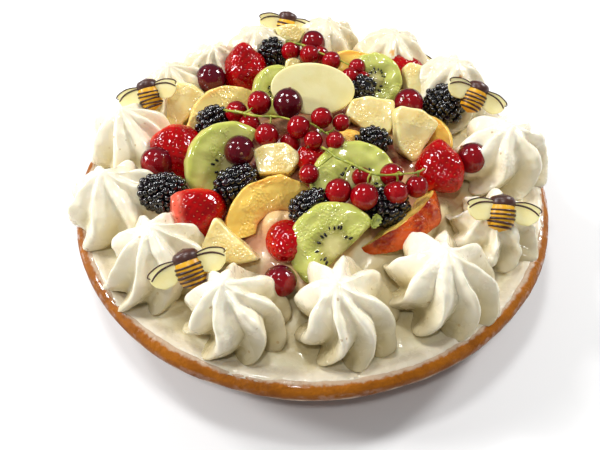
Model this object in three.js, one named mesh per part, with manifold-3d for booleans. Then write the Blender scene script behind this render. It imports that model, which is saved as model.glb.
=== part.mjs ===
// Fruit tart: a pastry shell filled with cream, a border of piped cream rosettes,
// a heap of glazed fruit, an oval plaque and six small sugar bees.
// Units are millimetres, +Z is up and the origin is the centre of the shell's flat underside.

import * as THREE from 'three';
import Module from 'manifold-3d';
import { mergeVertices } from 'three/addons/utils/BufferGeometryUtils.js';

const wasm = await Module();
wasm.setup();

// ---------------------------------------------------------------- driving dimensions

const TART_RADIUS = 140;      // outermost edge of the pastry rim
const BASE_RADIUS = 123;      // flat underside of the shell
const RIM_HEIGHT = 37;        // top of the rim above the table
const FLOOR_THICKNESS = 6;
const WALL_THICKNESS = 6;     // of the shell, where its floor begins
const CREAM_LEVEL = 34;       // cream between the rosettes and the rim
const CREAM_DOME = 15;        // rise of the cream under the fruit
const DOME_RADIUS = 78;
const CREAM_LIP = 2;          // rounding where the cream meets the rim
const ROSETTE_HEIGHT = 37;
const ROSETTE_RADIUS = 25.5;
const ROSETTE_RIDGES = 8;
const ROSETTE_TWIST = 0.45;   // radians from foot to peak
const RIDGE_DEPTH = 0.26;     // depth of the creases, as a share of the radius
const RIDGE_POWER = 0.9;      // below 1 the ridges are narrower than the creases
const STALK_RADIUS = 0.75;
const SIDE_STALK_RADIUS = 0.6;
const STALK_SAMPLES = 40;     // places along a stalk where a berry may hang
const FOOT_RING = [97, 115];  // low band of cream that joins the feet of the rosettes
const FOOT_HEIGHT = 8;
const SHELL_SIDES = 44;       // sides of the round shell
const GAP = 0.3;              // kept between pieces that touch

// The rounded rim from its outer foot to its inner lip, as [inset from TART_RADIUS,
// drop from RIM_HEIGHT].
const RIM_EDGE = [[3, 9], [0, 5.5], [1, 1.5], [4, 0], [8, 1], [10, 4]];
const RIM_WIDTH = RIM_EDGE.at(-1)[0];

// ---------------------------------------------------------------- placement tables
// at: centre of the piece. azimuth, tilt and roll turn it, in degrees: first roll about its
// own Z, then tilt towards -Y, then azimuth about the upright.

// Rosettes: direction from the centre, distance from it, sizes relative to the usual one,
// and how far the peak leans away from the middle of the foot.
const ROSETTES = [
  { angle: -82, distance: 104, width: 1.0, height: 0.98, lean: [-6, 1] },
  { angle: -111, distance: 107, width: 1.0, height: 0.94, lean: [-7, -2] },
  { angle: -139, distance: 105, width: 1.0, height: 1.02, lean: [0, 3] },
  { angle: -163, distance: 110, width: 1.06, height: 1.02, lean: [-5, 3] },
  { angle: 170, distance: 108, width: 1.04, height: 1.02, lean: [-4, 4] },
  { angle: 143, distance: 108, width: 0.98, height: 0.98 },
  { angle: 126, distance: 107, width: 0.96, height: 1.02 },
  { angle: 107, distance: 108, width: 1.1, height: 1.04 },
  { angle: 83, distance: 109, width: 1.06, height: 1.06 },
  { angle: 59, distance: 110, width: 1.12, height: 1.05 },
  { angle: 34, distance: 109, width: 1.06, height: 1.06 },
  { angle: 1, distance: 112, width: 1.1, height: 1.02 },
  { angle: -28, distance: 108, width: 0.98, height: 0.7 },
  { angle: -54, distance: 107, width: 1.12, height: 0.98, lean: [-4, 0] },
];

const GRAPES = [
  { at: [-89, -6, 54.5], radius: 9.2 },
  { at: [-40, -10, 66], radius: 8.8 },
  { at: [-13, 28, 68], radius: 9.2 },
  { at: [-63, 66, 59], radius: 9.8 },
  { at: [4, 93, 66], radius: 8.2 },
  { at: [61, 38, 58], radius: 9.4 },
  { at: [92, -7, 54], radius: 9 },
  { at: [-18, -84, 46], radius: 8.6 },
];

// Brambles and strawberries: the pointed end lies along the turned +Z.
const BRAMBLES = [
  { at: [-24, 90, 60], length: 24, radius: 9.5, azimuth: 150, tilt: 20 },
  { at: [-58, 27, 56], length: 25, radius: 9.5, azimuth: 120, tilt: 85 },
  { at: [-81, -33, 58], length: 30, radius: 10.5, azimuth: -95, tilt: 88 },
  { at: [-42, -27, 58], length: 29, radius: 9, azimuth: 124, tilt: 85 },
  { at: [33, 50, 60], length: 20, radius: 8.5, azimuth: 90, tilt: 30 },
  { at: [84, 41, 54], length: 28, radius: 11.5, azimuth: 40, tilt: 110 },
  { at: [36, 5, 58], length: 22, radius: 8.5, azimuth: 90, tilt: 90 },
  { at: [-1, -45, 56], length: 27, radius: 10, azimuth: 125, tilt: 85 },
  { at: [39, -43, 54], length: 27, radius: 10.5, azimuth: 95, tilt: 95 },
];

// side: distance from the axis to the cut face of a halved berry.
const STRAWBERRIES = [
  { at: [-42, 78, 59], length: 30, radius: 15.5, azimuth: 180, tilt: 12 },
  { at: [-77, 5, 49], length: 33, radius: 15.5, azimuth: 30, tilt: 105 },
  { at: [-64, -45, 49], length: 28, radius: 17.5, azimuth: 8, tilt: 112, roll: -15, side: 13 },
  { at: [73, -10, 52], length: 32, radius: 13.5, azimuth: 180, tilt: 45 },
  { at: [-15, -62, 48], length: 26, radius: 11, azimuth: 0, tilt: 70 },
  { at: [61, 77, 55], length: 30, radius: 11, azimuth: 90, tilt: 80 },
  { at: [2, -11, 60], length: 18, radius: 8.5, azimuth: 80, tilt: 70 },
];

// Kiwi slices: the round face looks along the turned +Z; chord is where the cut runs,
// measured from the centre of the full slice (a full slice has none).
const KIWI_SLICES = [
  { at: [-46, -12, 55], radius: 26, thickness: 11, chord: -3, azimuth: 30, tilt: 50, roll: 38 },
  { at: [42, 62, 57], radius: 18, thickness: 8, azimuth: -10, tilt: 45, roll: 0 },
  { at: [-20, 53, 57], radius: 17, thickness: 9, azimuth: 35, tilt: 50, roll: 0 },
  { at: [23, -27, 54], radius: 25, thickness: 9, chord: -3, azimuth: 8, tilt: 35, roll: -5 },
  { at: [10, -66, 50], radius: 23.5, thickness: 9, chord: -5, azimuth: -4, tilt: 38, roll: 45 },
];

// Peach slices: the length lies along the turned X and the skin faces the turned +Z.
// half: half of the angle that the slice takes out of the fruit.
const PEACH_SLICES = [
  { at: [-26, -33, 55], radius: 27.5, half: 20, azimuth: 22, tilt: -65 },
  { at: [-59.5, 46, 52], radius: 31, half: 18, azimuth: 42, tilt: -62 },
  { at: [54.5, -48.5, 49.5], radius: 31, half: 12, azimuth: 44, tilt: 44 },
  { at: [75.5, 22, 50], radius: 22, half: 22, azimuth: -50, tilt: -60 },
  { at: [30, 81, 57], radius: 26, half: 18, azimuth: -3, tilt: -60 },
  { at: [24, 9, 56], radius: 13, half: 35, azimuth: 120, tilt: 15 },
];

const STONE_SHARE = [0.42, 0.3];   // half length and radius of the stone's hollow, of the radius
const FLESH_MIDDLE = 0.71;         // from the stone to the middle of the flesh, of the radius

// Melon chunks: the outline lies in the turned XY plane and the thickness runs along Z.
const MELON_CHUNKS = [
  {
    at: [-76, 47, 52], thickness: 16, azimuth: -5, tilt: 45,
    outline: [[-13, -12], [-6, -15], [6, -2], [13, 6], [2, 14], [-12, 14]],
  },
  {
    at: [70, 65, 54], thickness: 14, azimuth: 8, tilt: 40,
    outline: [[-9, 9], [-4, 12], [9, 6], [6, -5], [3, -10], [-7, -9]],
  },
  {
    at: [36, 28, 57], thickness: 15, azimuth: 0, tilt: 40,
    outline: [[-15, 0], [-11, 10], [0, 11], [15, 8], [14, 0], [12, -12], [-1, -10]],
  },
  {
    at: [60, 11, 57], thickness: 14, azimuth: 5, tilt: 45,
    outline: [[-8, 17], [5, 14], [15, 5], [-1, -17], [-10, -9], [-11, 12]],
  },
  {
    at: [-19, -12, 59], thickness: 14, azimuth: 0, tilt: 35,
    outline: [[-14, 6], [-7, 9], [4, 10], [12, 4], [12, -1], [7, -8], [-11, -8]],
  },
  {
    at: [-44, -60, 48], thickness: 12, azimuth: -5, tilt: 40,
    outline: [[-8, 13], [17, -8], [6, -11], [-12, -9], [-15, -3]],
  },
  {
    at: [-11, 109, 63], thickness: 12, azimuth: 0, tilt: 50,
    outline: [[-11, 4], [-3, 6], [5, 6], [10, 2], [5, -6], [-7, -4]],
  },
  {
    at: [-10, 77, 60], thickness: 8, azimuth: 0, tilt: 50,
    outline: [[-5, -3], [-4, 3], [0, 5], [5, 3], [5, -3]],
  },
];

// Currant sprigs: the stalk's course and the berries as [x, y, z, radius].
const CURRANT_SPRIGS = [
  {
    name: 'currants_back',
    stalk: [[-14, 86, 73], [-4, 82, 72], [8, 76, 70], [20, 70, 69], [30, 62, 67]],
    berries: [
      [-11, 83, 67, 6.3], [1, 77, 68, 6.4], [8, 81, 65, 5.8], [15, 71, 67, 6.2],
      [31, 65, 66, 5.6], [26, 57, 65, 5.6], [34, 60, 61, 5.4],
    ],
  },
  {
    name: 'currants_middle',
    stalk: [[-51, 26, 66], [-42, 19, 69], [-32, 13, 72], [-23, 9, 74], [-14, 6, 75], [0, 3, 73], [8, -1, 70]],
    berries: [
      [-30, 29, 68, 7.3], [-44, 27, 63, 6.8], [-25, -1, 69, 7.0], [-7, 2, 72, 6.7], [6, 7, 74, 6.2],
      [17, 5, 72, 5.0], [13, -8, 70, 5.3], [1, -7, 70, 5.3], [-12, -1, 63, 6.0], [-36, 18, 61, 6.5],
    ],
  },
  {
    name: 'currants_front',
    stalk: [
      [6, -13, 70], [12, -22, 72], [19, -30, 74], [27, -36, 75], [34, -39, 75], [43, -38, 73],
      [53, -35, 71], [59, -31, 70],
    ],
    berries: [
      [-2, -29, 66, 5.6], [13, -41, 65, 7.0], [26, -46, 66, 7.4], [26, -31, 65, 5.4],
      [42, -30, 65, 6.4], [43, -42, 64, 6.6], [55, -36, 62, 6.2],
    ],
  },
];

const BEES = [
  { at: [-60, -87, 63], azimuth: 0, tilt: 38, roll: 19 },
  { at: [-98, 43, 65], azimuth: -5, tilt: 48, roll: 17 },
  { at: [-14, 117, 64.5], azimuth: 0, tilt: 52, roll: -12 },
  { at: [99, 33, 66], azimuth: 5, tilt: 48, roll: -28 },
  { at: [96, -54, 60], azimuth: 5, tilt: 35, roll: -12 },
  { at: [97, 92, 40], azimuth: 130, tilt: 40, roll: 10 },
];

const BEE = {
  bodyLength: 21, bodyRadius: 6.5, tailRadius: 4.9, wingSpan: 19.5, wingRoot: 5, wingTip: 10.5,
  wingThickness: 1.5, wingLift: 1.2, wingSlope: 0.12,
};

const PLAQUE = { at: [2, 41, 68], width: 51, height: 31, thickness: 3, azimuth: -2, tilt: 48, roll: -4 };
const LEAF = { at: [31, -58, 60], length: 10, width: 5, thickness: 0.8, wave: 0.9, azimuth: 70, tilt: 30 };

// ---------------------------------------------------------------- solids

const degrees = THREE.MathUtils.degToRad;

/** Turns a closed geometry into a solid, with its faces pointing out. */
function toSolid(geometry) {
  const bare = new THREE.BufferGeometry();
  bare.setAttribute('position', geometry.getAttribute('position').clone());
  if (geometry.index) bare.setIndex(geometry.index.clone());
  const merged = mergeVertices(bare, 1e-3);
  const faces = [];
  const index = merged.index.array;
  for (let i = 0; i < index.length; i += 3) {
    const [a, b, c] = [index[i], index[i + 1], index[i + 2]];
    if (a !== b && b !== c && c !== a) faces.push(a, b, c);
  }
  const build = (triangles) => new wasm.Manifold(new wasm.Mesh({
    numProp: 3,
    vertProperties: new Float32Array(merged.getAttribute('position').array),
    triVerts: new Uint32Array(triangles),
  }));
  const solid = build(faces);
  return solid.volume() > 0 ? solid : build(faces.reverse());
}

function toGeometry(solid) {
  const mesh = solid.getMesh();
  const geometry = new THREE.BufferGeometry();
  geometry.setAttribute('position', new THREE.BufferAttribute(new Float32Array(mesh.vertProperties), 3));
  geometry.setIndex(new THREE.BufferAttribute(new Uint32Array(mesh.triVerts), 1));
  geometry.computeVertexNormals();
  return geometry;
}

/** The matrix of a placed piece: roll about its own Z, tilt towards -Y, then azimuth. */
function poseOf({ at = [0, 0, 0], azimuth = 0, tilt = 0, roll = 0 }) {
  return new THREE.Matrix4()
    .makeTranslation(...at)
    .multiply(new THREE.Matrix4().makeRotationZ(degrees(azimuth)))
    .multiply(new THREE.Matrix4().makeRotationX(degrees(tilt)))
    .multiply(new THREE.Matrix4().makeRotationZ(degrees(roll)));
}

/** Revolves [radius, height] points about Z. */
function revolve(points, segments) {
  const profile = points.map(([radius, height]) => new THREE.Vector2(radius, height));
  return new THREE.LatheGeometry(profile, segments).rotateX(Math.PI / 2);
}

/** Extrudes a closed outline along Z, centred on the XY plane, with one small bevel. */
function slab(shape, thickness, bevel) {
  const options = {
    depth: thickness - 2 * bevel,
    bevelEnabled: bevel > 0,
    bevelThickness: bevel,
    bevelSize: bevel,
    bevelOffset: -bevel,
    bevelSegments: 1,
  };
  return new THREE.ExtrudeGeometry(shape, options).translate(0, 0, bevel - thickness / 2);
}

/** A straight or curved rod along points, with a section of the given number of sides. */
function rod(points, radius, sides, steps) {
  const section = new THREE.Shape();
  for (let i = 0; i < sides; i += 1) {
    const angle = (2 * Math.PI * i) / sides;
    const place = [radius * Math.cos(angle), radius * Math.sin(angle)];
    if (i === 0) section.moveTo(...place);
    else section.lineTo(...place);
  }
  const path = new THREE.CatmullRomCurve3(points.map((point) => new THREE.Vector3(...point)));
  return new THREE.ExtrudeGeometry(section, { steps, extrudePath: path, bevelEnabled: false });
}

function shapeOf(points) {
  return new THREE.Shape(points.map(([x, y]) => new THREE.Vector2(x, y)));
}

/** A stretch of an ellipse about the centre, closed by a straight line. */
function arcShape(wide, high, start, end, steps) {
  const whole = end - start > 2 * Math.PI - 1e-6;
  const points = [];
  for (let i = 0; i <= (whole ? steps - 1 : steps); i += 1) {
    const angle = start + ((end - start) * i) / steps;
    points.push([wide * Math.cos(angle), high * Math.sin(angle)]);
  }
  return shapeOf(points);
}

// ---------------------------------------------------------------- shell and cream

/** The pastry shell: sloping wall, rounded rim, flat floor. */
function shellSolid(grow = 0) {
  const floorTop = FLOOR_THICKNESS + grow;
  const edge = RIM_EDGE.map(([inset, drop]) => {
    const outward = inset < RIM_WIDTH / 2 ? grow : -grow;
    return [TART_RADIUS - inset + outward, RIM_HEIGHT - drop + grow];
  });
  return toSolid(revolve([
    [0, -grow],
    [BASE_RADIUS + grow, -grow],
    ...edge,
    [BASE_RADIUS - WALL_THICKNESS - grow, floorTop],
    [0, floorTop],
  ], SHELL_SIDES));
}

/** Height of the cream's surface at a distance from the centre. */
function creamHeight(distance) {
  if (distance > DOME_RADIUS) return CREAM_LEVEL;
  return CREAM_LEVEL + CREAM_DOME * 0.5 * (1 + Math.cos((Math.PI * distance) / DOME_RADIUS));
}

function creamSolid(grow = 0) {
  const edge = TART_RADIUS - RIM_WIDTH - 2 * GAP;
  const points = [
    [0, FLOOR_THICKNESS + GAP],
    [BASE_RADIUS - WALL_THICKNESS - 2 * GAP, FLOOR_THICKNESS + GAP],
    [edge, CREAM_LEVEL - CREAM_LIP / 2],
    [edge - CREAM_LIP, CREAM_LEVEL + grow],
  ];
  for (const share of [1, 0.5, 0]) {
    const distance = DOME_RADIUS * share;
    points.push([distance, creamHeight(distance) + grow]);
  }
  return toSolid(revolve(points, SHELL_SIDES));
}

/** One piped rosette: sharp ridges that turn as they rise to a peak. A plain one has no creases. */
function rosetteGeometry({ width, height, lean = [0, 0] }, plain) {
  const profile = [[0.93, 0], [1, 0.26], [0.88, 0.62], [0.48, 0.91]];
  const around = plain ? ROSETTE_RIDGES : ROSETTE_RIDGES * 3;
  const lathe = revolve([[0, 0], ...profile, [0, 1]], around);
  const position = lathe.getAttribute('position');
  const point = new THREE.Vector3();
  for (let i = 0; i < position.count; i += 1) {
    point.fromBufferAttribute(position, i);
    const angle = Math.atan2(point.y, point.x);
    const radius = Math.hypot(point.x, point.y);
    const crease = Math.abs(Math.sin((ROSETTE_RIDGES * angle) / 2)) ** RIDGE_POWER;
    const reach = radius * (1 - RIDGE_DEPTH * crease) * ROSETTE_RADIUS * width;
    const turned = angle + ROSETTE_TWIST * point.z;
    const shift = point.z ** 2;
    position.setXYZ(
      i,
      reach * Math.cos(turned) + lean[0] * shift,
      reach * Math.sin(turned) + lean[1] * shift,
      point.z * ROSETTE_HEIGHT * height,
    );
  }
  return lathe;
}

/** The whole border, its rosettes run together where they touch. */
function borderSolid(grow = 0) {
  const floor = CREAM_LEVEL + GAP;
  const [inner, outer] = FOOT_RING;
  const top = floor + FOOT_HEIGHT + grow;
  let border = toSolid(revolve([
    [inner - grow, floor], [outer + grow, floor], [(inner + outer) / 2, top], [inner - grow, floor],
  ], SHELL_SIDES / 2));
  for (const rosette of ROSETTES) {
    const width = rosette.width + grow / ROSETTE_RADIUS;
    const height = rosette.height + grow / ROSETTE_HEIGHT;
    const angle = degrees(rosette.angle);
    const place = new THREE.Matrix4()
      .makeTranslation(
        rosette.distance * Math.cos(angle),
        rosette.distance * Math.sin(angle),
        floor,
      );
    const solid = toSolid(rosetteGeometry({ ...rosette, width, height }, grow > 0)).transform(place.elements);
    border = border.add(solid);
  }
  return border;
}

// ---------------------------------------------------------------- fruit

function grapeGeometry({ radius }, grow = 0) {
  return new THREE.SphereGeometry(radius + grow, 8, 6).rotateX(Math.PI / 2);
}

/** A bramble: a blunt cone of revolution with staggered bumps. */
function brambleGeometry({ length, radius }, grow = 0) {
  const half = length / 2 + grow;
  const wide = radius + grow;
  const profile = [[0, -1], [0.62, -0.8], [0.95, -0.42], [1, 0], [0.86, 0.45], [0.52, 0.82], [0, 1]];
  const around = 8;
  const lathe = revolve(profile.map(([r, z]) => [r * wide, z * half]), around);
  const position = lathe.getAttribute('position');
  for (let i = 0; i < position.count; i += 1) {
    const [x, y, z] = [position.getX(i), position.getY(i), position.getZ(i)];
    const slot = Math.round((Math.atan2(x, -y) * around) / (2 * Math.PI));
    const ring = Math.round((z / half) * 3);
    const bump = (slot + ring) % 2 === 0 ? 1 : 0.9 + (grow > 0 ? 0.1 : 0);
    position.setXYZ(i, x * bump, y * bump, z);
  }
  return lathe;
}

/** A strawberry about Z, its point up. */
function strawberryGeometry({ length, radius }, grow = 0) {
  const half = length / 2 + grow;
  const wide = radius + grow;
  const profile = [
    [0, -1], [0.68, -0.93], [1, -0.5], [0.93, 0], [0.66, 0.5], [0.32, 0.88], [0, 1],
  ];
  return revolve(profile.map(([r, z]) => [r * wide, z * half]), 9);
}

/** A strawberry, halved where it has a cut side. */
function strawberrySolid(berry, grow = 0) {
  const whole = toSolid(strawberryGeometry(berry, grow));
  if (berry.side === undefined) return whole;
  const cutter = new THREE.BoxGeometry(berry.radius * 2, berry.radius * 4, berry.length * 2);
  cutter.translate(-berry.side - grow - berry.radius, 0, 0);
  return whole.subtract(toSolid(cutter));
}

/** A round slice, or the part of it above a straight cut. */
function kiwiGeometry({ radius, thickness, chord }, grow = 0) {
  const wide = radius + grow;
  const start = chord === undefined ? 0 : Math.asin((chord - grow) / wide);
  const end = chord === undefined ? 2 * Math.PI : Math.PI - start;
  return slab(arcShape(wide, wide, start, end, 16), thickness + 2 * grow, 0);
}

/** A slice of peach: a wedge of a ball, hollowed where the stone was. */
function peachSolid({ radius, half }, grow = 0) {
  const ball = new THREE.SphereGeometry(radius + grow, 14, 8).rotateZ(Math.PI / 2);
  const [long, wide] = STONE_SHARE.map((share) => share * radius);
  const stone = new THREE.SphereGeometry(1, 8, 6).scale(long, wide, wide);
  const reach = 2 * radius * Math.tan(degrees(half));
  const spread = shapeOf([[0, -grow * 2], [2 * radius, -reach - grow * 2], [2 * radius, reach + grow * 2], [0, grow * 2]]);
  const length = 4 * radius;
  const prism = new THREE.ExtrudeGeometry(spread, { depth: length, bevelEnabled: false });
  prism.translate(0, 0, -length / 2).rotateY(-Math.PI / 2).rotateZ(Math.PI);
  const solid = toSolid(ball).intersect(toSolid(prism)).subtract(toSolid(stone));
  return solid.transform(new THREE.Matrix4().makeTranslation(0, 0, -radius * FLESH_MIDDLE).elements);
}

/** A chunk of melon: a rounded prism. */
function melonGeometry({ outline, thickness }, grow = 0) {
  const stretch = (value) => value + Math.sign(value) * grow;
  const shape = shapeOf(outline.map(([x, y]) => [stretch(x), stretch(y)]));
  return slab(shape, thickness + 2 * grow, 2);
}

/** A sprig of currants: every berry hangs on a short side stalk. */
function currantSolid({ stalk, berries }, grow = 0) {
  const course = new THREE.CatmullRomCurve3(stalk.map((point) => new THREE.Vector3(...point)));
  const samples = course.getPoints(STALK_SAMPLES);
  let sprig = toSolid(rod(stalk, STALK_RADIUS + grow, 4, stalk.length + 2));
  for (const [x, y, z, radius] of berries) {
    const centre = new THREE.Vector3(x, y, z);
    let joint = samples[0];
    for (const sample of samples) {
      if (sample.distanceTo(centre) < joint.distanceTo(centre)) joint = sample;
    }
    const ball = new THREE.SphereGeometry(radius + grow, 6, 4).rotateX(Math.PI / 2).translate(x, y, z);
    sprig = sprig.add(toSolid(ball));
    if (joint.distanceTo(centre) > radius * 0.5) {
      sprig = sprig.add(toSolid(rod([centre.toArray(), joint.toArray()], SIDE_STALK_RADIUS + grow, 3, 1)));
    }
  }
  return sprig;
}

// ---------------------------------------------------------------- decorations

function plaqueSolid({ width, height, thickness }, grow = 0) {
  const outline = arcShape(width / 2 + grow, height / 2 + grow, 0, 2 * Math.PI, 20);
  return toSolid(slab(outline, thickness + 2 * grow, 0.6));
}

/** The outline of a wing that fans out along +X. */
function wingShape() {
  const { wingSpan, wingRoot, wingTip } = BEE;
  return shapeOf([
    [2, -wingRoot * 0.5], [wingSpan * 0.55, -wingTip * 0.75], [wingSpan * 0.86, -wingTip * 0.55],
    [wingSpan, wingTip * 0.1], [wingSpan * 0.93, wingTip * 0.42], [wingSpan * 0.5, wingTip * 0.5],
    [2, wingRoot * 0.6],
  ]);
}

/** A bee: barrel body with its head at +Y, and two flat wings. */
function beeSolid() {
  const { bodyLength, bodyRadius, tailRadius, wingThickness, wingLift, wingSlope } = BEE;
  const half = bodyLength / 2;
  const body = revolve([
    [0, -half], [tailRadius, -half + 2], [bodyRadius * 0.88, -half * 0.3], [bodyRadius, half * 0.35],
    [bodyRadius * 0.92, half - 2.5], [0, half],
  ], 6).rotateX(-Math.PI / 2);
  let bee = toSolid(body);
  for (const side of [1, -1]) {
    const wing = slab(wingShape(), wingThickness, 0);
    if (side < 0) wing.rotateY(Math.PI);
    wing.rotateY(-side * wingSlope).translate(0, half * 0.15, wingLift);
    bee = bee.add(toSolid(wing));
  }
  return bee;
}

/** A small leaf: a thin strip with pointed ends that waves along its length. */
function leafSolid({ length, width, thickness, wave }) {
  const shape = new THREE.Shape();
  shape.moveTo(-length / 2, 0);
  shape.quadraticCurveTo(0, width, length / 2, 0);
  shape.quadraticCurveTo(0, -width, -length / 2, 0);
  const leaf = new THREE.ExtrudeGeometry(shape, { depth: thickness, bevelEnabled: false, curveSegments: 6 });
  const position = leaf.getAttribute('position');
  for (let i = 0; i < position.count; i += 1) {
    const lift = wave * Math.sin((2 * Math.PI * position.getX(i)) / length);
    position.setZ(i, position.getZ(i) + lift);
  }
  return toSolid(leaf);
}

// ---------------------------------------------------------------- assembly

const FINISHES = {
  crust: { color: 0xc07a30, roughness: 0.5 },
  cream: { color: 0xf2ecda, roughness: 0.4 },
  grape: { color: 0x4a0c1c, roughness: 0.15 },
  bramble: { color: 0x14121c, roughness: 0.3 },
  strawberry: { color: 0xc01414, roughness: 0.25 },
  kiwi: { color: 0xa8b848, roughness: 0.3 },
  peach: { color: 0xe6a428, roughness: 0.3 },
  melon: { color: 0xe4d08c, roughness: 0.3 },
  currant: { color: 0xa80a1c, roughness: 0.15 },
  plaque: { color: 0xe2d8a0, roughness: 0.45 },
  bee: { color: 0xe0a020, roughness: 0.4 },
  leaf: { color: 0x7c8c30, roughness: 0.5 },
};

/** Collects the pieces: each new one is cut clear of those placed before it. */
class Assembly {
  constructor() {
    this.group = new THREE.Group();
    this.placed = [];
    this.materials = new Map(Object.entries(FINISHES).map(
      ([name, finish]) => [name, new THREE.MeshStandardMaterial({ ...finish, metalness: 0 })],
    ));
  }

  /** Adds a piece. solid and grown are made by build(grow) in the piece's own frame. */
  add(name, finish, build, piece = {}) {
    const pose = poseOf(piece);
    let solid = build(0).transform(pose.elements);
    const grown = build(GAP).transform(pose.elements);
    for (const other of this.placed) {
      if (this.overlaps(solid, other)) solid = solid.subtract(other);
    }
    solid = this.largestPart(solid);
    this.placed.push(grown);
    const local = solid.transform(pose.clone().invert().elements);
    const mesh = new THREE.Mesh(toGeometry(local), this.materials.get(finish));
    mesh.name = name;
    pose.decompose(mesh.position, mesh.quaternion, mesh.scale);
    this.group.add(mesh);
  }

  overlaps(first, second) {
    const [a, b] = [first.boundingBox(), second.boundingBox()];
    return [0, 1, 2].every((axis) => a.min[axis] < b.max[axis] && b.min[axis] < a.max[axis]);
  }

  /** Drops loose scraps that a cut leaves behind. */
  largestPart(solid) {
    const parts = solid.decompose();
    return parts.reduce((best, part) => (part.volume() > best.volume() ? part : best));
  }

  addAll(label, finish, pieces, build) {
    pieces.forEach((piece, i) => {
      this.add(`${label}_${i + 1}`, finish, (grow) => build(piece, grow), piece);
    });
  }
}

const tart = new Assembly();
tart.add('crust', 'crust', shellSolid);
tart.add('cream_layer', 'cream', creamSolid);
tart.add('piped_border', 'cream', borderSolid);
for (const sprig of CURRANT_SPRIGS) {
  tart.add(sprig.name, 'currant', (grow) => currantSolid(sprig, grow));
}
tart.add('plaque', 'plaque', (grow) => plaqueSolid(PLAQUE, grow), PLAQUE);
tart.addAll('kiwi_slice', 'kiwi', KIWI_SLICES, (piece, grow) => toSolid(kiwiGeometry(piece, grow)));
tart.addAll('melon_chunk', 'melon', MELON_CHUNKS, (piece, grow) => toSolid(melonGeometry(piece, grow)));
tart.addAll('peach_slice', 'peach', PEACH_SLICES, peachSolid);
tart.addAll('strawberry', 'strawberry', STRAWBERRIES, strawberrySolid);
tart.addAll('bramble', 'bramble', BRAMBLES, (piece, grow) => toSolid(brambleGeometry(piece, grow)));
tart.addAll('grape', 'grape', GRAPES, (piece, grow) => toSolid(grapeGeometry(piece, grow)));
tart.addAll('bee', 'bee', BEES, beeSolid);
tart.add('leaf', 'leaf', () => leafSolid(LEAF), LEAF);

export default tart.group;
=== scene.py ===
"""A fruit tart: pastry shell, cream, piped rosettes, glazed fruit, a plaque and six bees.

Every piece is a mesh, built in millimetres in a frame of its own and then placed in the
tart's frame, whose origin is the centre of the shell's flat underside, with +Z up and
-Y towards the viewer.
"""

import logging
import math
from dataclasses import dataclass, field
from enum import Enum, IntEnum
from typing import Optional, Sequence, Union

import bpy
import numpy as np
from mathutils import Matrix, Vector


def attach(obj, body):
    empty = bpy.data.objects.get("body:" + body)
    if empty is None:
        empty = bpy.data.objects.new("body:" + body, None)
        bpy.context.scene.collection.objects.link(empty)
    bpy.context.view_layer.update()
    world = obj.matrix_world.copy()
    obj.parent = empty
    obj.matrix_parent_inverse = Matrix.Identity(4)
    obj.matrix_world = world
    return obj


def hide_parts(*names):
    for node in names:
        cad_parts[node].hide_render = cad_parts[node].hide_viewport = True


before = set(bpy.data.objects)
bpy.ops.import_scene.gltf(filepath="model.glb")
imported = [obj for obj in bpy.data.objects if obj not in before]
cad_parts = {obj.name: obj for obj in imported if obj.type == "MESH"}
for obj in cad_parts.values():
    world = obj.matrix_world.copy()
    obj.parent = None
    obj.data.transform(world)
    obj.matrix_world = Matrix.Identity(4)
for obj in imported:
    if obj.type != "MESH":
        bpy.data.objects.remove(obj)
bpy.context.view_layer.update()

LOG = logging.getLogger("fruit_tart")

MM = 0.001
GOLDEN_ANGLE = math.pi * (3 - math.sqrt(5))
OWN_PLACE = "own_place"

Color = tuple[float, float, float, float]
Point = tuple[float, float, float]
Outline = tuple[tuple[float, float], ...]
Band = tuple[float, float]  # where a soft step starts, and where it ends

MIX_FIRST, MIX_SECOND, MIX_COLOR = 6, 7, 2  # the sockets of a Mix node that carry colours
ATTRIBUTE_VECTOR, ATTRIBUTE_NUMBER = 1, 2  # outputs of an Attribute node
TART_PLACE = 3  # the output of Texture Coordinate that gives the point in the tart's frame

# ---------------- shared sizes, in millimetres

TART_RADIUS = 140.0
BASE_RADIUS = 123.0
RIM_HEIGHT = 37.0
RIM_WIDTH = 10.0
FLOOR_THICKNESS = 6.0
WALL_THICKNESS = 6.0
CREAM_LEVEL = 34.0
CREAM_DOME = 15.0
DOME_RADIUS = 78.0
ROSETTE_HEIGHT = 37.0
ROSETTE_RADIUS = 25.5
ROSETTE_RIDGES = 8
ROSETTE_TWIST = 0.45


class Seed(IntEnum):
    """Where the random draws of each kind of piece start; its number is added."""

    ROSETTE = 100
    GRAPE = 400
    BRAMBLE = 500
    STRAWBERRY = 600
    KIWI = 800
    PEACH = 900
    MELON = 1000
    PLAQUE = 1100
    BEE = 1200


def tint(red: int, green: int, blue: int) -> Color:
    """A colour as shaders take it, from its screen values.

    Args:
        red: Red, from 0 to 255.
        green: Green, from 0 to 255.
        blue: Blue, from 0 to 255.

    Returns:
        Linear red, green and blue, and an alpha of 1.
    """
    shares = [value / 255 for value in (red, green, blue)]
    linear = [s / 12.92 if s <= 0.04045 else ((s + 0.055) / 1.055) ** 2.4 for s in shares]
    return (linear[0], linear[1], linear[2], 1.0)


# ---------------- shader expressions


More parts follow.
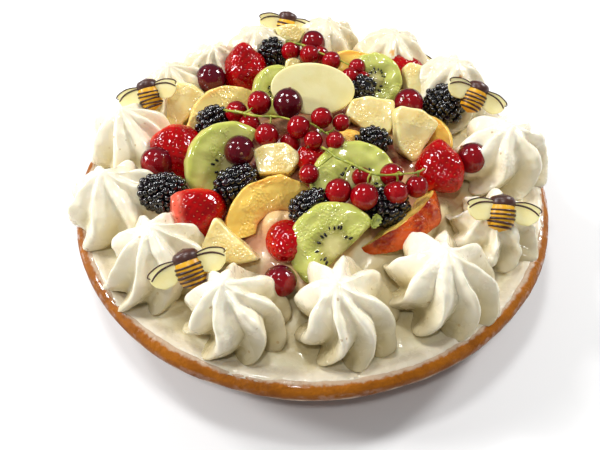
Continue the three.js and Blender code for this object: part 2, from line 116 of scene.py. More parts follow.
class Value:
    """A number that varies over a surface, for use in Python expressions."""

    def __init__(self, shader: "Shader", socket: bpy.types.NodeSocket) -> None:
        """Wraps a socket.

        Args:
            shader: The shader whose nodes the expression adds to.
            socket: The output that carries the number.
        """
        self.shader = shader
        self.socket = socket

    def __add__(self, other: "Number") -> "Value":
        """The sum."""
        return self.shader.math("ADD", self, other)

    def __radd__(self, other: float) -> "Value":
        """The sum, with the number first."""
        return self.shader.math("ADD", other, self)

    def __sub__(self, other: "Number") -> "Value":
        """The difference."""
        return self.shader.math("SUBTRACT", self, other)

    def __rsub__(self, other: float) -> "Value":
        """The difference, with the number first."""
        return self.shader.math("SUBTRACT", other, self)

    def __mul__(self, other: "Number") -> "Value":
        """The product."""
        return self.shader.math("MULTIPLY", self, other)

    def __rmul__(self, other: float) -> "Value":
        """The product, with the number first."""
        return self.shader.math("MULTIPLY", other, self)

    def step(self, low: float, high: float) -> "Value":
        """A soft step.

        Args:
            low: Where the step starts, with result 0.
            high: Where it ends, with result 1. It may be below low.

        Returns:
            The step, from 0 to 1.
        """
        settings = {"interpolation_type": "SMOOTHSTEP"}
        inputs = {"Value": self, "From Min": low, "From Max": high}
        return Value(self.shader, self.shader.node("ShaderNodeMapRange", settings, inputs))


Number = Union[float, Value]
Input = Union[float, Color, Point, Value, bpy.types.NodeSocket]


class Shader:
    """The nodes of one material."""

    def __init__(self, name: str) -> None:
        """Starts a material with one Principled surface.

        Args:
            name: The material's name.
        """
        self.material = bpy.data.materials.new(name)
        self.material.use_nodes = True
        self.tree = self.material.node_tree
        self.surface = self.tree.nodes["Principled BSDF"]

    def node(self, kind: str, settings: dict, inputs: dict, output: int = 0) -> bpy.types.NodeSocket:
        """Adds a node.

        Args:
            kind: The node's type.
            settings: Its own settings, and "stops" for a ramp, as (place, colour) pairs.
            inputs: Values or links by socket name or number.
            output: The number of the output that is wanted.

        Returns:
            That output.
        """
        made = self.tree.nodes.new(kind)
        for name, setting in settings.items():
            if name == "stops":
                self._set_stops(made.color_ramp, setting)
            else:
                setattr(made, name, setting)
        for name, value in inputs.items():
            self.feed(made.inputs[name], value)
        return made.outputs[output]

    def _set_stops(self, ramp: bpy.types.ColorRamp, stops: Sequence[tuple[float, Color]]) -> None:
        """Gives a ramp its stops.

        Args:
            ramp: The ramp.
            stops: Its places and colours, in order.
        """
        while len(ramp.elements) < len(stops):
            ramp.elements.new(1.0)
        for element, (place, color) in zip(ramp.elements, stops):
            element.position = place
            element.color = color

    def feed(self, socket: bpy.types.NodeSocket, value: Input) -> None:
        """Sets a socket or links it.

        Args:
            socket: The input to feed.
            value: A plain value, or the source of a link.
        """
        if isinstance(value, Value):
            self.tree.links.new(value.socket, socket)
        elif isinstance(value, bpy.types.NodeSocket):
            self.tree.links.new(value, socket)
        else:
            socket.default_value = value

    def math(self, operation: str, first: Number, second: Number) -> Value:
        """One step of arithmetic on numbers."""
        socket = self.node("ShaderNodeMath", {"operation": operation}, {0: first, 1: second})
        return Value(self, socket)

    def mix(self, share: Number, first: Input, second: Input, blend: str = "MIX") -> bpy.types.NodeSocket:
        """Mixes two colours.

        Args:
            share: How much of the second colour there is, from 0 to 1.
            first: The first colour.
            second: The second colour.
            blend: The way of mixing.

        Returns:
            The mixed colour.
        """
        settings = {"data_type": "RGBA", "blend_type": blend}
        inputs = {0: share, MIX_FIRST: first, MIX_SECOND: second}
        return self.node("ShaderNodeMix", settings, inputs, MIX_COLOR)

    def ramp(self, value: Number, stops: Sequence[tuple[float, Color]]) -> bpy.types.NodeSocket:
        """A colour that follows a number through the given stops."""
        return self.node("ShaderNodeValToRGB", {"stops": stops}, {0: value})

    def mark(self, name: str) -> Value:
        """A number that the mesh holds at its points."""
        settings = {"attribute_name": name}
        return Value(self, self.node("ShaderNodeAttribute", settings, {}, ATTRIBUTE_NUMBER))

    def place(self, stretch: Optional[Point]) -> bpy.types.NodeSocket:
        """The point on the surface.

        Args:
            stretch: Factors on its coordinates in the piece's own frame; without them it is the
                point in the tart's frame, so that no two pieces look alike.

        Returns:
            The point, as a vector.
        """
        if stretch is None:
            return self.node("ShaderNodeTexCoord", {}, {}, TART_PLACE)
        own = self.node("ShaderNodeAttribute", {"attribute_name": OWN_PLACE}, {}, ATTRIBUTE_VECTOR)
        return self.node("ShaderNodeVectorMath", {"operation": "MULTIPLY"}, {0: own, 1: stretch})

    def noise(self, size: float, detail: float = 2.0, stretch: Optional[Point] = None) -> Value:
        """Cloudy noise.

        Args:
            size: The size of its spots, in millimetres.
            detail: How many finer layers it has.
            stretch: Factors on the own coordinates; a small one draws the spots out.

        Returns:
            The noise, from 0 to 1.
        """
        inputs = {"Vector": self.place(stretch), "Scale": 1 / (size * MM), "Detail": detail}
        return Value(self, self.node("ShaderNodeTexNoise", {}, inputs))

    def cells(self, size: float) -> Value:
        """The distance to the nearest of scattered points, as a share of their spacing."""
        inputs = {"Vector": self.place(None), "Scale": 1 / (size * MM)}
        return Value(self, self.node("ShaderNodeTexVoronoi", {}, inputs))

    def crinkles(self, size: float, share: float) -> Value:
        """The relief of a glaze that has set in small facets, in patches.

        Args:
            size: The size of a facet, in millimetres.
            share: How much of the surface has them.

        Returns:
            The relief, from 0 to 1.
        """
        patch_size, ripple_size, ripple_height = 7 * size, 2.2 * size, 0.16
        widening = share * 0.4
        patches = self.noise(patch_size).step(0.62 - widening, 0.78 - widening)
        return self.cells(size) * patches + self.noise(ripple_size) * ripple_height

    def bump(self, height: Value, depth: float) -> bpy.types.NodeSocket:
        """A bumped normal.

        Args:
            height: The relief, from 0 to 1.
            depth: What 1 stands for, in millimetres.

        Returns:
            The normal.
        """
        inputs = {"Height": height, "Distance": depth * MM, "Strength": 1.0}
        return self.node("ShaderNodeBump", {}, inputs)

    def finish(self, **sockets: Input) -> bpy.types.Material:
        """Feeds the surface and ends the material.

        Args:
            **sockets: Values or links by socket name, with _ for a space.

        Returns:
            The material.
        """
        for name, value in sockets.items():
            self.feed(self.surface.inputs[name.replace("_", " ").title().replace("Ior", "IOR")], value)
        return self.material


# ---------------- finishes


class Finish:
    """A material that is made once and then shared."""

    made: dict["Finish", bpy.types.Material] = {}

    def material(self) -> bpy.types.Material:
        """The Blender material, made at its first use.

        Returns:
            The material, the same one for each equal finish.
        """
        if self not in Finish.made:
            Finish.made[self] = self.build(Shader(type(self).__name__))
        return Finish.made[self]

    def build(self, shader: Shader) -> bpy.types.Material:
        """Builds the nodes.

        Args:
            shader: The empty shader to fill.

        Returns:
            The finished material.
        """
        raise NotImplementedError


@dataclass(frozen=True)
class Inside:
    """How light spreads under a surface."""

    weight: float
    spread: Point
    depth: float

    def sockets(self) -> dict[str, Input]:
        """The shader's values for it.

        Returns:
            The values by socket name, as Shader.finish takes them.
        """
        return {
            "subsurface_weight": self.weight,
            "subsurface_radius": self.spread,
            "subsurface_scale": self.depth * MM,
        }


@dataclass(frozen=True)
class Pastry(Finish):
    """Baked short pastry: golden, browner in patches, with painted shade on its outer wall and a pale lip
    that is partly dry pastry and partly painted highlight.
    """

    golden: Color = tint(168, 98, 12)
    brown: Color = tint(116, 58, 4)
    wall_shade_brown: Color = tint(104, 50, 2)
    pale: Color = tint(242, 226, 202)
    milky: Color = tint(198, 180, 156)
    relief_depth: float = 0.7

    def build(self, shader: Shader) -> bpy.types.Material:
        """Builds the pastry's nodes. See Finish.build."""
        baked = shader.noise(26, 3.0) * 0.6 + shader.noise(5, 4.0) * 0.4
        crumb = shader.noise(1.1, 3.0)
        color = shader.mix(baked.step(0.36, 0.68) * 0.6, self.golden, self.brown)
        color = shader.mix((0.34 - shader.cells(1.3)).step(0.0, 0.12) * 0.15, color, self.brown)
        # Painted shade: the outer wall below the rim is darkened towards a shaded brown.
        color = shader.mix(shader.mark("foot") * 0.8, color, self.wall_shade_brown)
        smear = (shader.mark("film") + (shader.noise(3.0, 4.0) - 0.5) * 0.9).step(0.35, 0.75)
        color = shader.mix(smear * 0.75, color, self.milky)
        # The pale lip is partly the dry edge of the pastry and partly a painted highlight along its outer
        # edge.
        color = shader.mix(shader.mark("lip") * 0.85, color, self.pale)
        wet = shader.mark("egg_wash") * shader.noise(3.4, 4.0).step(0.44, 0.56)
        relief = shader.noise(2.4, 3.0) * 0.6 + crumb * 0.3 + shader.crinkles(2.2, 0.3) * 0.5
        return shader.finish(
            base_color=color,
            roughness=0.55 - wet * 0.3,
            specular_ior_level=0.16,
            coat_weight=wet,
            coat_roughness=0.08,
            normal=shader.bump(relief, self.relief_depth),
        )


@dataclass(frozen=True)
class WhippedCream(Finish):
    """Whipped cream: warm ivory with a soft sheen, wetter in patches, a few brown specks, and painted shade
    in its creases and on its shaded sides.
    """

    ivory: Color = tint(248, 241, 220)
    hollow: Color = tint(220, 206, 160)
    dusk: Color = tint(198, 186, 146)
    syrup: Color = tint(232, 170, 70)
    speck: Color = tint(176, 140, 84)
    inside: Inside = Inside(0.4, (1.0, 0.8, 0.5), 3)
    relief_depth: float = 0.55

    def build(self, shader: Shader) -> bpy.types.Material:
        """Builds the cream's nodes. See Finish.build."""
        cloud = shader.noise(14)
        # Painted shade: the creases are mixed towards a darker, yellower hollow colour; the cloud part is
        # tone that varies at random.
        deep = shader.mark("hollow") * 0.85 + cloud.step(0.45, 0.75) * 0.15
        dots = (0.16 - shader.cells(5.5)).step(0.0, 0.05) * shader.noise(9, 0.0).step(0.56, 0.66)
        color = shader.mix(deep, self.ivory, self.hollow)
        # Painted shade: the lower front of front rosettes and the whole of back rosettes are darkened.
        color = shader.mix(shader.mark("shade") * 0.8, color, self.dusk, "MULTIPLY")
        color = shader.mix(dots * 0.6, color, self.speck)
        color = shader.mix(shader.mark("juice") * 0.8, color, self.syrup)
        wet = shader.noise(7).step(0.42, 0.58)
        relief = shader.noise(5.0, 1.5) * 0.6 + shader.crinkles(1.8, 0.16) * 0.8
        return shader.finish(
            base_color=color,
            roughness=0.3 - wet * 0.22,
            **self.inside.sockets(),
            normal=shader.bump(relief, self.relief_depth),
        )


@dataclass(frozen=True)
class FillingCream(Finish):
    """The cream under the toppings: ivory outside and stained by juice under the fruit, with painted shade
    in the ring between the rosettes and a dark red in the deep gaps under the fruit that is partly juice and
    partly painted shade.
    """

    ivory: Color = tint(245, 236, 204)
    shade: Color = tint(230, 216, 172)
    dusk: Color = tint(202, 186, 138)
    syrup: Color = tint(230, 196, 138)
    stain: Color = tint(220, 166, 128)
    gap_shade_wine: Color = tint(112, 30, 28)
    crusted: Color = tint(214, 202, 184)
    inside: Inside = Inside(0.3, (1.0, 0.8, 0.5), 3)
    relief_depth: float = 0.6

    def build(self, shader: Shader) -> bpy.types.Material:
        """Builds the filling's nodes. See Finish.build."""
        cloud = shader.noise(18, 3.0)
        color = shader.mix(cloud.step(0.4, 0.7), self.ivory, self.shade)
        # Painted shade: the ring between the rosettes is darkened.
        color = shader.mix(shader.mark("between") * 0.75, color, self.dusk)
        juice = shader.mark("juice")
        red = shader.noise(16).step(0.38, 0.56)
        wetted = shader.mix(red, self.syrup, self.stain)
        color = shader.mix(juice, color, wetted)
        # The deepest gaps under the fruit turn dark red: partly juice, partly painted shade.
        color = shader.mix(shader.mark("deep") * (red * 0.3 + 0.7), color, self.gap_shade_wine)
        color = shader.mix(shader.mark("gold") * 0.8, color, self.syrup)
        color = shader.mix(shader.mark("film") * 0.7, color, self.crusted)
        wet = shader.noise(6).step(0.42, 0.6)
        relief = shader.noise(4.0, 4.0) * 0.5 + shader.crinkles(2.6, 0.3) * 0.7
        return shader.finish(
            base_color=color,
            roughness=0.34 - wet * 0.24,
            **self.inside.sockets(),
            normal=shader.bump(relief, self.relief_depth),
        )


@dataclass(frozen=True)
class GlazedSkin(Finish):
    """A glazed berry or grape skin: dark, and redder where a painted glow stands in for light shining
    through it.
    """

    dark: Color
    glow: Color
    bloom: Color
    bloom_share: float = 0.12
    roughness: float = 0.07
    scatter: float = 0.2
    relief_depth: float = 0.35

    def build(self, shader: Shader) -> bpy.types.Material:
        """Builds the skin's nodes. See Finish.build."""
        patches = shader.noise(6)
        # Painted light: the glow mark makes one side redder, as if lit through.
        glow = shader.mark("glow") * (patches * 0.5 + 0.75)
        color = shader.mix(glow, self.dark, self.glow)
        dusty = shader.noise(4, 3.0).step(0.5, 0.75) * self.bloom_share
        color = shader.mix(dusty, color, self.bloom)
        color = shader.mix(shader.mark("vein"), color, self.bloom)
        return shader.finish(
            base_color=color,
            roughness=self.roughness + shader.noise(2.5) * 0.06,
            **Inside(self.scatter, (1.0, 0.15, 0.1), 2.5).sockets(),
            specular_ior_level=0.3,
            coat_weight=0.3,
            coat_roughness=0.05,
            normal=shader.bump(shader.noise(2.6), self.relief_depth),
        )


@dataclass(frozen=True)
class Drupelet(Finish):
    """The near-black beads of a bramble."""

    black: Color = tint(6, 4, 9)
    purple: Color = tint(44, 8, 26)
    relief_depth: float = 0.1

    def build(self, shader: Shader) -> bpy.types.Material:
        """Builds the beads' nodes. See Finish.build."""
        color = shader.mix(shader.mark("tone"), self.black, self.purple)
        return shader.finish(
            base_color=color,
            roughness=0.04 + shader.noise(1.2) * 0.05,
            specular_ior_level=0.8,
            coat_weight=0.3,
            coat_roughness=0.04,
            normal=shader.bump(shader.noise(1.2), self.relief_depth),
        )


@dataclass(frozen=True)
class StrawberryFlesh(Finish):
    """A glazed strawberry: bright red, darker in its pits, coral where it is cut."""

    red: Color = tint(180, 2, 4)
    deep: Color = tint(120, 0, 6)
    shoulder: Color = tint(228, 50, 28)
    coral: Color = tint(244, 110, 84)
    white: Color = tint(250, 214, 190)
    inside: Inside = Inside(0.12, (1.0, 0.25, 0.15), 2)
    relief_depth: float = 0.7

    def build(self, shader: Shader) -> bpy.types.Material:
        """Builds the flesh's nodes. See Finish.build."""
        patches = shader.noise(9)
        color = shader.mix(patches.step(0.35, 0.7) * 0.6, self.red, self.deep)
        color = shader.mix(shader.mark("pit") * 0.65, color, self.deep)
        color = shader.mix(shader.mark("pale"), color, self.shoulder)
        streaks = shader.noise(3, 3.0, (1.0, 1.0, 0.25)).step(0.45, 0.7)
        inner = shader.mix(streaks * 0.5, self.coral, self.white)
        color = shader.mix(shader.mark("cut"), color, inner)
        return shader.finish(
            base_color=color,
            roughness=0.06 + patches * 0.04,
            specular_ior_level=0.4,
            **self.inside.sockets(),
            normal=shader.bump(shader.crinkles(2.0, 0.3), self.relief_depth),
        )


@dataclass(frozen=True)
class PlainGloss(Finish):
    """A small part of one tone that varies a little."""

    light: Color
    dark: Color
    size: float = 1.5
    roughness: float = 0.35
    relief_depth: float = 0.12

    def build(self, shader: Shader) -> bpy.types.Material:
        """Builds the nodes. See Finish.build."""
        spots = shader.noise(self.size, 3.0)
        return shader.finish(
            base_color=shader.mix(spots.step(0.35, 0.65), self.light, self.dark),
            roughness=self.roughness + spots * 0.1,
            normal=shader.bump(spots, self.relief_depth),
        )


@dataclass(frozen=True)
class KiwiFlesh(Finish):
    """Kiwi flesh: green with pale rays, a darker ring at the seeds, a cream core, and a whitish frost that
    is partly set glaze and partly painted glints.
    """

    crinkled: float
    outer: Color = tint(212, 214, 122)
    green: Color = tint(188, 194, 86)
    ring: Color = tint(158, 152, 74)
    core: Color = tint(210, 202, 140)
    rim: Color = tint(204, 198, 112)
    frost_glint: Color = tint(236, 236, 190)
    inside: Inside = Inside(0.4, (0.7, 1.0, 0.3), 3)
    relief_depth: float = 0.5

    def build(self, shader: Shader) -> bpy.types.Material:
        """Builds the flesh's nodes. See Finish.build."""
        reach = shader.mark("reach") + (shader.noise(6, 3.0) - 0.5) * 0.2
        rays = shader.mark("ray")
        color = shader.ramp(
            reach,
            [
                (0.0, self.core),
                (0.12, self.core),
                (0.3, self.ring),
                (0.45, self.green),
                (0.72, self.outer),
                (1.0, self.green),
            ],
        )
        inside = reach.step(0.16, 0.3) * reach.step(0.66, 0.42)
        color = shader.mix(rays * inside * 0.3, color, self.core)
        color = shader.mix(shader.mark("side") * 0.8, color, self.rim)
        # The whitish frost is partly set glaze and partly painted glints.
        frost = shader.noise(1.6, 3.0)
        color = shader.mix(frost.step(0.6, 0.78) * 0.35, color, self.frost_glint)
        return shader.finish(
            base_color=color,
            roughness=0.08 + frost * 0.08,
            specular_ior_level=0.7,
            **self.inside.sockets(),
            normal=shader.bump(shader.crinkles(1.4, self.crinkled), self.relief_depth),
        )


@dataclass(frozen=True)
class PeachFlesh(Finish):
    """Peach or nectarine: golden flesh, and a skin that is left on or peeled off."""

    golden: Color = tint(252, 208, 98)
    orange: Color = tint(236, 152, 46)
    stone: Color = tint(222, 130, 78)
    skin: Color = tint(204, 80, 6)
    blush: Color = tint(136, 14, 4)
    fibre: Color = tint(255, 228, 128)
    fleck: Color = tint(232, 140, 60)
    inside: Inside = Inside(0.25, (1.0, 0.6, 0.2), 3)
    relief_depth: float = 0.6

    def build(self, shader: Shader) -> bpy.types.Material:
        """Builds the flesh's nodes. See Finish.build."""
        fibres = shader.noise(1.8, 2.0, (0.4, 1.0, 1.0))
        color = shader.mix(fibres.step(0.35, 0.7) * 0.4, self.golden, self.fibre)
        color = shader.mix(shader.mark("edge"), color, self.orange)
        color = shader.mix(shader.mark("stone"), color, self.stone)
        speckle = shader.noise(2.0, 3.0, (0.4, 1.0, 1.0)).step(0.52, 0.7)
        ripe = shader.noise(11, 3.0, (0.6, 1.0, 1.0)).step(0.38, 0.62)
        skin = shader.mix(ripe, self.skin, self.blush)
        skin = shader.mix(speckle * 0.3, skin, self.fleck)
        color = shader.mix(shader.mark("skin"), color, skin)
        return shader.finish(
            base_color=color,
            roughness=0.08 + fibres * 0.06,
            specular_ior_level=0.55,
            **self.inside.sockets(),
            normal=shader.bump(shader.crinkles(1.7, 0.5), self.relief_depth),
        )


@dataclass(frozen=True)
class MelonFlesh(Finish):
    """Pale yellow melon with frosty white fibres, paler towards the edges of its faces."""

    pale: Color = tint(244, 228, 164)
    deep: Color = tint(236, 212, 134)
    frost: Color = tint(252, 248, 222)
    edge: Color = tint(250, 240, 198)
    inside: Inside = Inside(0.6, (1.0, 0.8, 0.4), 4)
    relief_depth: float = 0.36

    def build(self, shader: Shader) -> bpy.types.Material:
        """Builds the flesh's nodes. See Finish.build."""
        cloud = shader.noise(11)
        fibres = shader.noise(1.8, 3.0)
        color = shader.mix(cloud.step(0.38, 0.66), self.pale, self.deep)
        color = shader.mix(fibres.step(0.52, 0.75) * 0.3, color, self.frost)
        color = shader.mix(shader.mark("edge") * 0.5, color, self.edge)
        return shader.finish(
            base_color=color,
            roughness=0.08 + fibres * 0.08,
            specular_ior_level=0.7,
            **self.inside.sockets(),
            normal=shader.bump(shader.crinkles(1.5, 0.5), self.relief_depth),
        )


@dataclass(frozen=True)
class Confection(Finish):
    """Chocolate or sugar with a satin face and faint clouding."""

    light: Color
    dark: Color
    roughness: float
    inside: Inside = Inside(0.15, (1.0, 0.7, 0.3), 1.5)
    relief_depth: float = 0.06

    def build(self, shader: Shader) -> bpy.types.Material:
        """Builds the nodes. See Finish.build."""
        cloud = shader.noise(8, 3.0)
        return shader.finish(
            base_color=shader.mix(cloud.step(0.35, 0.7), self.light, self.dark),
            roughness=self.roughness + cloud * 0.12,
            **self.inside.sockets(),
            normal=shader.bump(shader.noise(1.5, 3.0), self.relief_depth),
        )


@dataclass(frozen=True)
class Backdrop(Finish):
    """The plain pale floor."""

    pale: Color = (0.86, 0.86, 0.86, 1.0)
    roughness: float = 0.7

    def build(self, shader: Shader) -> bpy.types.Material:
        """Builds the floor's nodes. See Finish.build."""
        return shader.finish(base_color=self.pale, roughness=self.roughness)


# ---------------- meshes


@dataclass
class Shape:
    """A mesh in the making: points in millimetres, faces, and numbers held at the points."""

    points: np.ndarray
    quads: np.ndarray
    tris: np.ndarray
    marks: dict[str, np.ndarray] = field(default_factory=dict)
    finish: int = 0

    def moved(self, turn: np.ndarray, shift: Sequence[float], finish: Optional[int] = None) -> "Shape":
        """A copy that is turned or scaled and then shifted.

        Args:
            turn: A 3x3 matrix.
            shift: The shift, in millimetres.
            finish: The copy's finish, where it isn't the shape's own.

        Returns:
            The copy.
        """
        points = self.points @ np.asarray(turn).T + np.asarray(shift)
        number = self.finish if finish is None else finish
        return Shape(points, self.quads, self.tris, dict(self.marks), number)

    def marked(self, **values: float) -> "Shape":
        """A copy with the same number at all its points, for each name given."""
        marks = {name: np.full(len(self.points), value) for name, value in values.items()}
        return Shape(self.points, self.quads, self.tris, {**self.marks, **marks}, self.finish)


def closed_skin(rings: np.ndarray, marks: Optional[dict] = None, finish: int = 0) -> Shape:
    """Joins rings of points into one closed surface, with a pole at each end.

    Args:
        rings: Points as an array of (rings, points around, 3).
        marks: Numbers at the points, as arrays of (rings, points around).
        finish: Which of the piece's finishes the surface has.

    Returns:
        The closed shape, its faces pointing out.
    """
    count, around = rings.shape[:2]
    points = np.vstack([rings.reshape(-1, 3), rings[0].mean(0), rings[-1].mean(0)])
    here = np.arange(around)
    after = (here + 1) % around
    base = np.arange(count - 1)[:, None] * around
    quads = np.stack([base + here, base + after, base + around + after, base + around + here], -1)
    first, last = count * around, count * around + 1
    top = (count - 1) * around
    tris = np.vstack([
        np.stack([after, here, np.full(around, first)], -1),
        np.stack([top + here, top + after, np.full(around, last)], -1),
    ])
    quads = quads.reshape(-1, 4)
    corners = points[np.vstack([quads[:, :3], quads[:, [0, 2, 3]], tris])]
    volume = np.einsum("ij,ij->i", corners[:, 0], np.cross(corners[:, 1], corners[:, 2])).sum()
    if volume < 0:
        quads, tris = quads[:, ::-1], tris[:, ::-1]
    held = {
        name: np.concatenate([values.reshape(-1), [values[0].mean(), values[-1].mean()]])
        for name, values in (marks or {}).items()
    }
    return Shape(points, quads, tris, held, finish)


def joined(shapes: Sequence[Shape]) -> tuple[Shape, np.ndarray, np.ndarray]:
    """Puts shapes together in one mesh.

    Args:
        shapes: The shapes, which may have different marks.

    Returns:
        The joined shape, and the finish numbers of its quads and of its triangles.
    """
    names = {name for shape in shapes for name in shape.marks}
    starts = np.cumsum([0] + [len(shape.points) for shape in shapes[:-1]])
    marks = {
        name: np.concatenate([s.marks.get(name, np.zeros(len(s.points))) for s in shapes])
        for name in names
    }
    whole = Shape(
        np.vstack([s.points for s in shapes]),
        np.vstack([s.quads + start for s, start in zip(shapes, starts)]),
        np.vstack([s.tris + start for s, start in zip(shapes, starts)]),
        marks,
    )
    quad_finish = np.concatenate([np.full(len(s.quads), s.finish) for s in shapes])
    tri_finish = np.concatenate([np.full(len(s.tris), s.finish) for s in shapes])
    return whole, quad_finish, tri_finish


@dataclass(frozen=True)
class Pose:
    """Where a piece lies: it rolls about its own Z, tilts towards -Y, then turns about the upright."""

    at: Point = (0.0, 0.0, 0.0)
    azimuth: float = 0.0
    tilt: float = 0.0
    roll: float = 0.0

    def placed(self, points: np.ndarray) -> np.ndarray:
        """Moves points from the piece's own frame to the tart's.

        Args:
            points: The points, as an array of (points, 3).

        Returns:
            The moved points.
        """
        turn = (
            Matrix.Rotation(math.radians(self.azimuth), 3, "Z")
            @ Matrix.Rotation(math.radians(self.tilt), 3, "X")
            @ Matrix.Rotation(math.radians(self.roll), 3, "Z")
        )
        return points @ np.array(turn).T + np.array(self.at)


class Slot(Enum):
    """The record's material slots."""

    CRUST = "crust"
    CREAM = "cream"
    CURRANT = "currant"
    PLAQUE = "plaque"
    KIWI = "kiwi"
    MELON = "melon"
    PEACH = "peach"
    STRAWBERRY = "strawberry"
    BRAMBLE = "bramble"
    GRAPE = "grape"
    BEE = "bee"
    LEAF = "leaf"


def add_piece(
    name: str,
    shapes: Sequence[Shape],
    finishes: Sequence[Finish],
    nodes: Sequence[str],
    pose: Pose = Pose(),
) -> None:
    """Makes a Blender object of shapes, rides it on the tart and reports it.

    Args:
        name: The piece's name.
        shapes: The shapes that it consists of.
        finishes: The finishes that the shapes' numbers point at.
        nodes: The CAD nodes that it stands for.
        pose: Where it lies.
    """
    whole, quad_finish, tri_finish = joined(shapes)
    mesh = bpy.data.meshes.new(name)
    corners = np.concatenate([whole.quads.ravel(), whole.tris.ravel()]).astype(np.int32)
    sizes = np.concatenate([np.full(len(whole.quads), 4), np.full(len(whole.tris), 3)])
    mesh.vertices.add(len(whole.points))
    mesh.vertices.foreach_set("co", (pose.placed(whole.points) * MM).astype(np.float32).ravel())
    mesh.loops.add(len(corners))
    mesh.loops.foreach_set("vertex_index", corners)
    mesh.polygons.add(len(sizes))
    starts = np.concatenate([[0], np.cumsum(sizes)[:-1]]).astype(np.int32)
    mesh.polygons.foreach_set("loop_start", starts)
    finish = np.concatenate([quad_finish, tri_finish]).astype(np.int32)
    mesh.polygons.foreach_set("material_index", finish)
    mesh.polygons.foreach_set("use_smooth", np.ones(len(sizes), bool))
    own = mesh.attributes.new(OWN_PLACE, "FLOAT_VECTOR", "POINT")
    own.data.foreach_set("vector", (whole.points * MM).astype(np.float32).ravel())
    for mark, values in whole.marks.items():
        held = mesh.attributes.new(mark, "FLOAT", "POINT")
        held.data.foreach_set("value", values.astype(np.float32))
    for each in finishes:
        mesh.materials.append(each.material())
    mesh.update(calc_edges=True)
    mesh.validate()
    piece = bpy.data.objects.new(name, mesh)
    bpy.context.scene.collection.objects.link(piece)
    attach(piece, "root")
    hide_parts(*nodes)
    LOG.info("%s: %d faces", name, len(sizes))


# ---------------- forms

BEVEL_RINGS = 6
WALL_RINGS = 5
SMALLEST_REACH = 0.02


def wobble(points: np.ndarray, size: float, seed: int, waves: int = 10) -> np.ndarray:
    """Smooth random bumps.

    Args:
        points: Points, in an array whose last axis holds their coordinates.
        size: The usual length of a bump, in millimetres.
        seed: Which pattern it is.
        waves: How many waves are added up.

    Returns:
        A number at each point, mostly between -1 and 1.
    """
    draw = np.random.default_rng(seed)
    total = np.zeros(points.shape[:-1])
    for _ in range(waves):
        direction = draw.normal(size=3)
        direction *= draw.uniform(0.6, 1.5) * 2 * math.pi / size / np.linalg.norm(direction)
        total += np.sin(points @ direction + draw.uniform(0, 2 * math.pi))
    return total / math.sqrt(waves)


def random_waves(
    angle: np.ndarray, orders: Sequence[int], low: float, high: float, draw: np.random.Generator
) -> np.ndarray:
    """Random waves round an axis.

    Args:
        angle: The directions, in radians.
        orders: How often each wave goes up and down in one turn.
        low: The least that a wave may rise.
        high: The most that it may rise.
        draw: The source of its rise and of its start.

    Returns:
        The waves' sum at each direction.
    """
    return sum(draw.uniform(low, high) * np.sin(m * angle + draw.uniform(0, 2 * math.pi)) for m in orders)


def soft_step(value: np.ndarray, low: float, high: float) -> np.ndarray:
    """A step from 0 at low to 1 at high, with soft ends."""
    share = np.clip((value - low) / (high - low), 0, 1)
    return share * share * (3 - 2 * share)


def smooth_line(points: Sequence[Sequence[float]], count: int) -> np.ndarray:
    """A smooth line through points.

    Args:
        points: The points, of any dimension.
        count: How many points the line gets.

    Returns:
        The line's points, evenly spaced between the given ones.
    """
    given = np.asarray(points, float)
    before = 2 * given[0] - given[1]
    beyond = 2 * given[-1] - given[-2]
    padded = np.vstack([before, given, beyond])
    place = np.linspace(0, len(given) - 1, count)
    start = np.minimum(place.astype(int), len(given) - 2)
    t = (place - start)[:, None]
    p0, p1, p2, p3 = (padded[start + i] for i in range(4))
    return 0.5 * (
        2 * p1
        + (p2 - p0) * t
        + (2 * p0 - 5 * p1 + 4 * p2 - p3) * t**2
        + (3 * p1 - p0 - 3 * p2 + p3) * t**3
    )


def turned(profile: np.ndarray, around: int) -> np.ndarray:
    """Rings of points, from [radius, height] points turned about Z.

    Args:
        profile: The points, as an array of (rings, 2).
        around: How many points a ring has.

    Returns:
        An array of (rings, around, 3).
    """
    angle = np.arange(around) * 2 * math.pi / around
    radius = np.maximum(profile[:, :1], 0)
    height = np.broadcast_to(profile[:, 1:2], (len(profile), around))
    return np.stack([radius * np.cos(angle), radius * np.sin(angle), height], -1)


def ball(rows: int, around: int) -> Shape:
    """A ball of radius 1."""
    angle = np.linspace(0, math.pi, rows + 2)[1:-1]
    return closed_skin(turned(np.stack([np.sin(angle), -np.cos(angle)], -1), around))


def basis(direction: np.ndarray) -> np.ndarray:
    """A matrix that turns +Z into a direction.

    Args:
        direction: The direction, of any length but 0.

    Returns:
        The 3x3 matrix.
    """
    upright = direction / np.linalg.norm(direction)
    helper = np.array([1.0, 0, 0]) if abs(upright[0]) < 0.8 else np.array([0, 1.0, 0])
    side = np.cross(helper, upright)
    side /= np.linalg.norm(side)
    return np.stack([side, np.cross(upright, side), upright], -1)


def about_z(angle: float) -> np.ndarray:
    """A 3x3 matrix that turns about Z by an angle in radians."""
    sine, cosine = math.sin(angle), math.cos(angle)
    return np.array([[cosine, -sine, 0], [sine, cosine, 0], [0, 0, 1]])


def tube(line: np.ndarray, radius: np.ndarray, around: int, finish: int) -> Shape:
    """A closed tube along a line.

    Args:
        line: The points of its centreline.
        radius: Its radius at each point.
        around: How many points a ring has.
        finish: Which of the piece's finishes it has.

    Returns:
        The tube.
    """
    heading = np.gradient(line, axis=0)
    heading /= np.linalg.norm(heading, axis=1, keepdims=True)
    side = basis(heading[0])[:, 0]
    angle = np.arange(around) * 2 * math.pi / around
    rings = []
    for point, ahead, reach in zip(line, heading, radius):
        side = side - ahead * (side @ ahead)
        side /= np.linalg.norm(side)
        across = np.cross(ahead, side)
        rings.append(point + reach * (np.cos(angle)[:, None] * side + np.sin(angle)[:, None] * across))
    return closed_skin(np.array(rings), finish=finish)


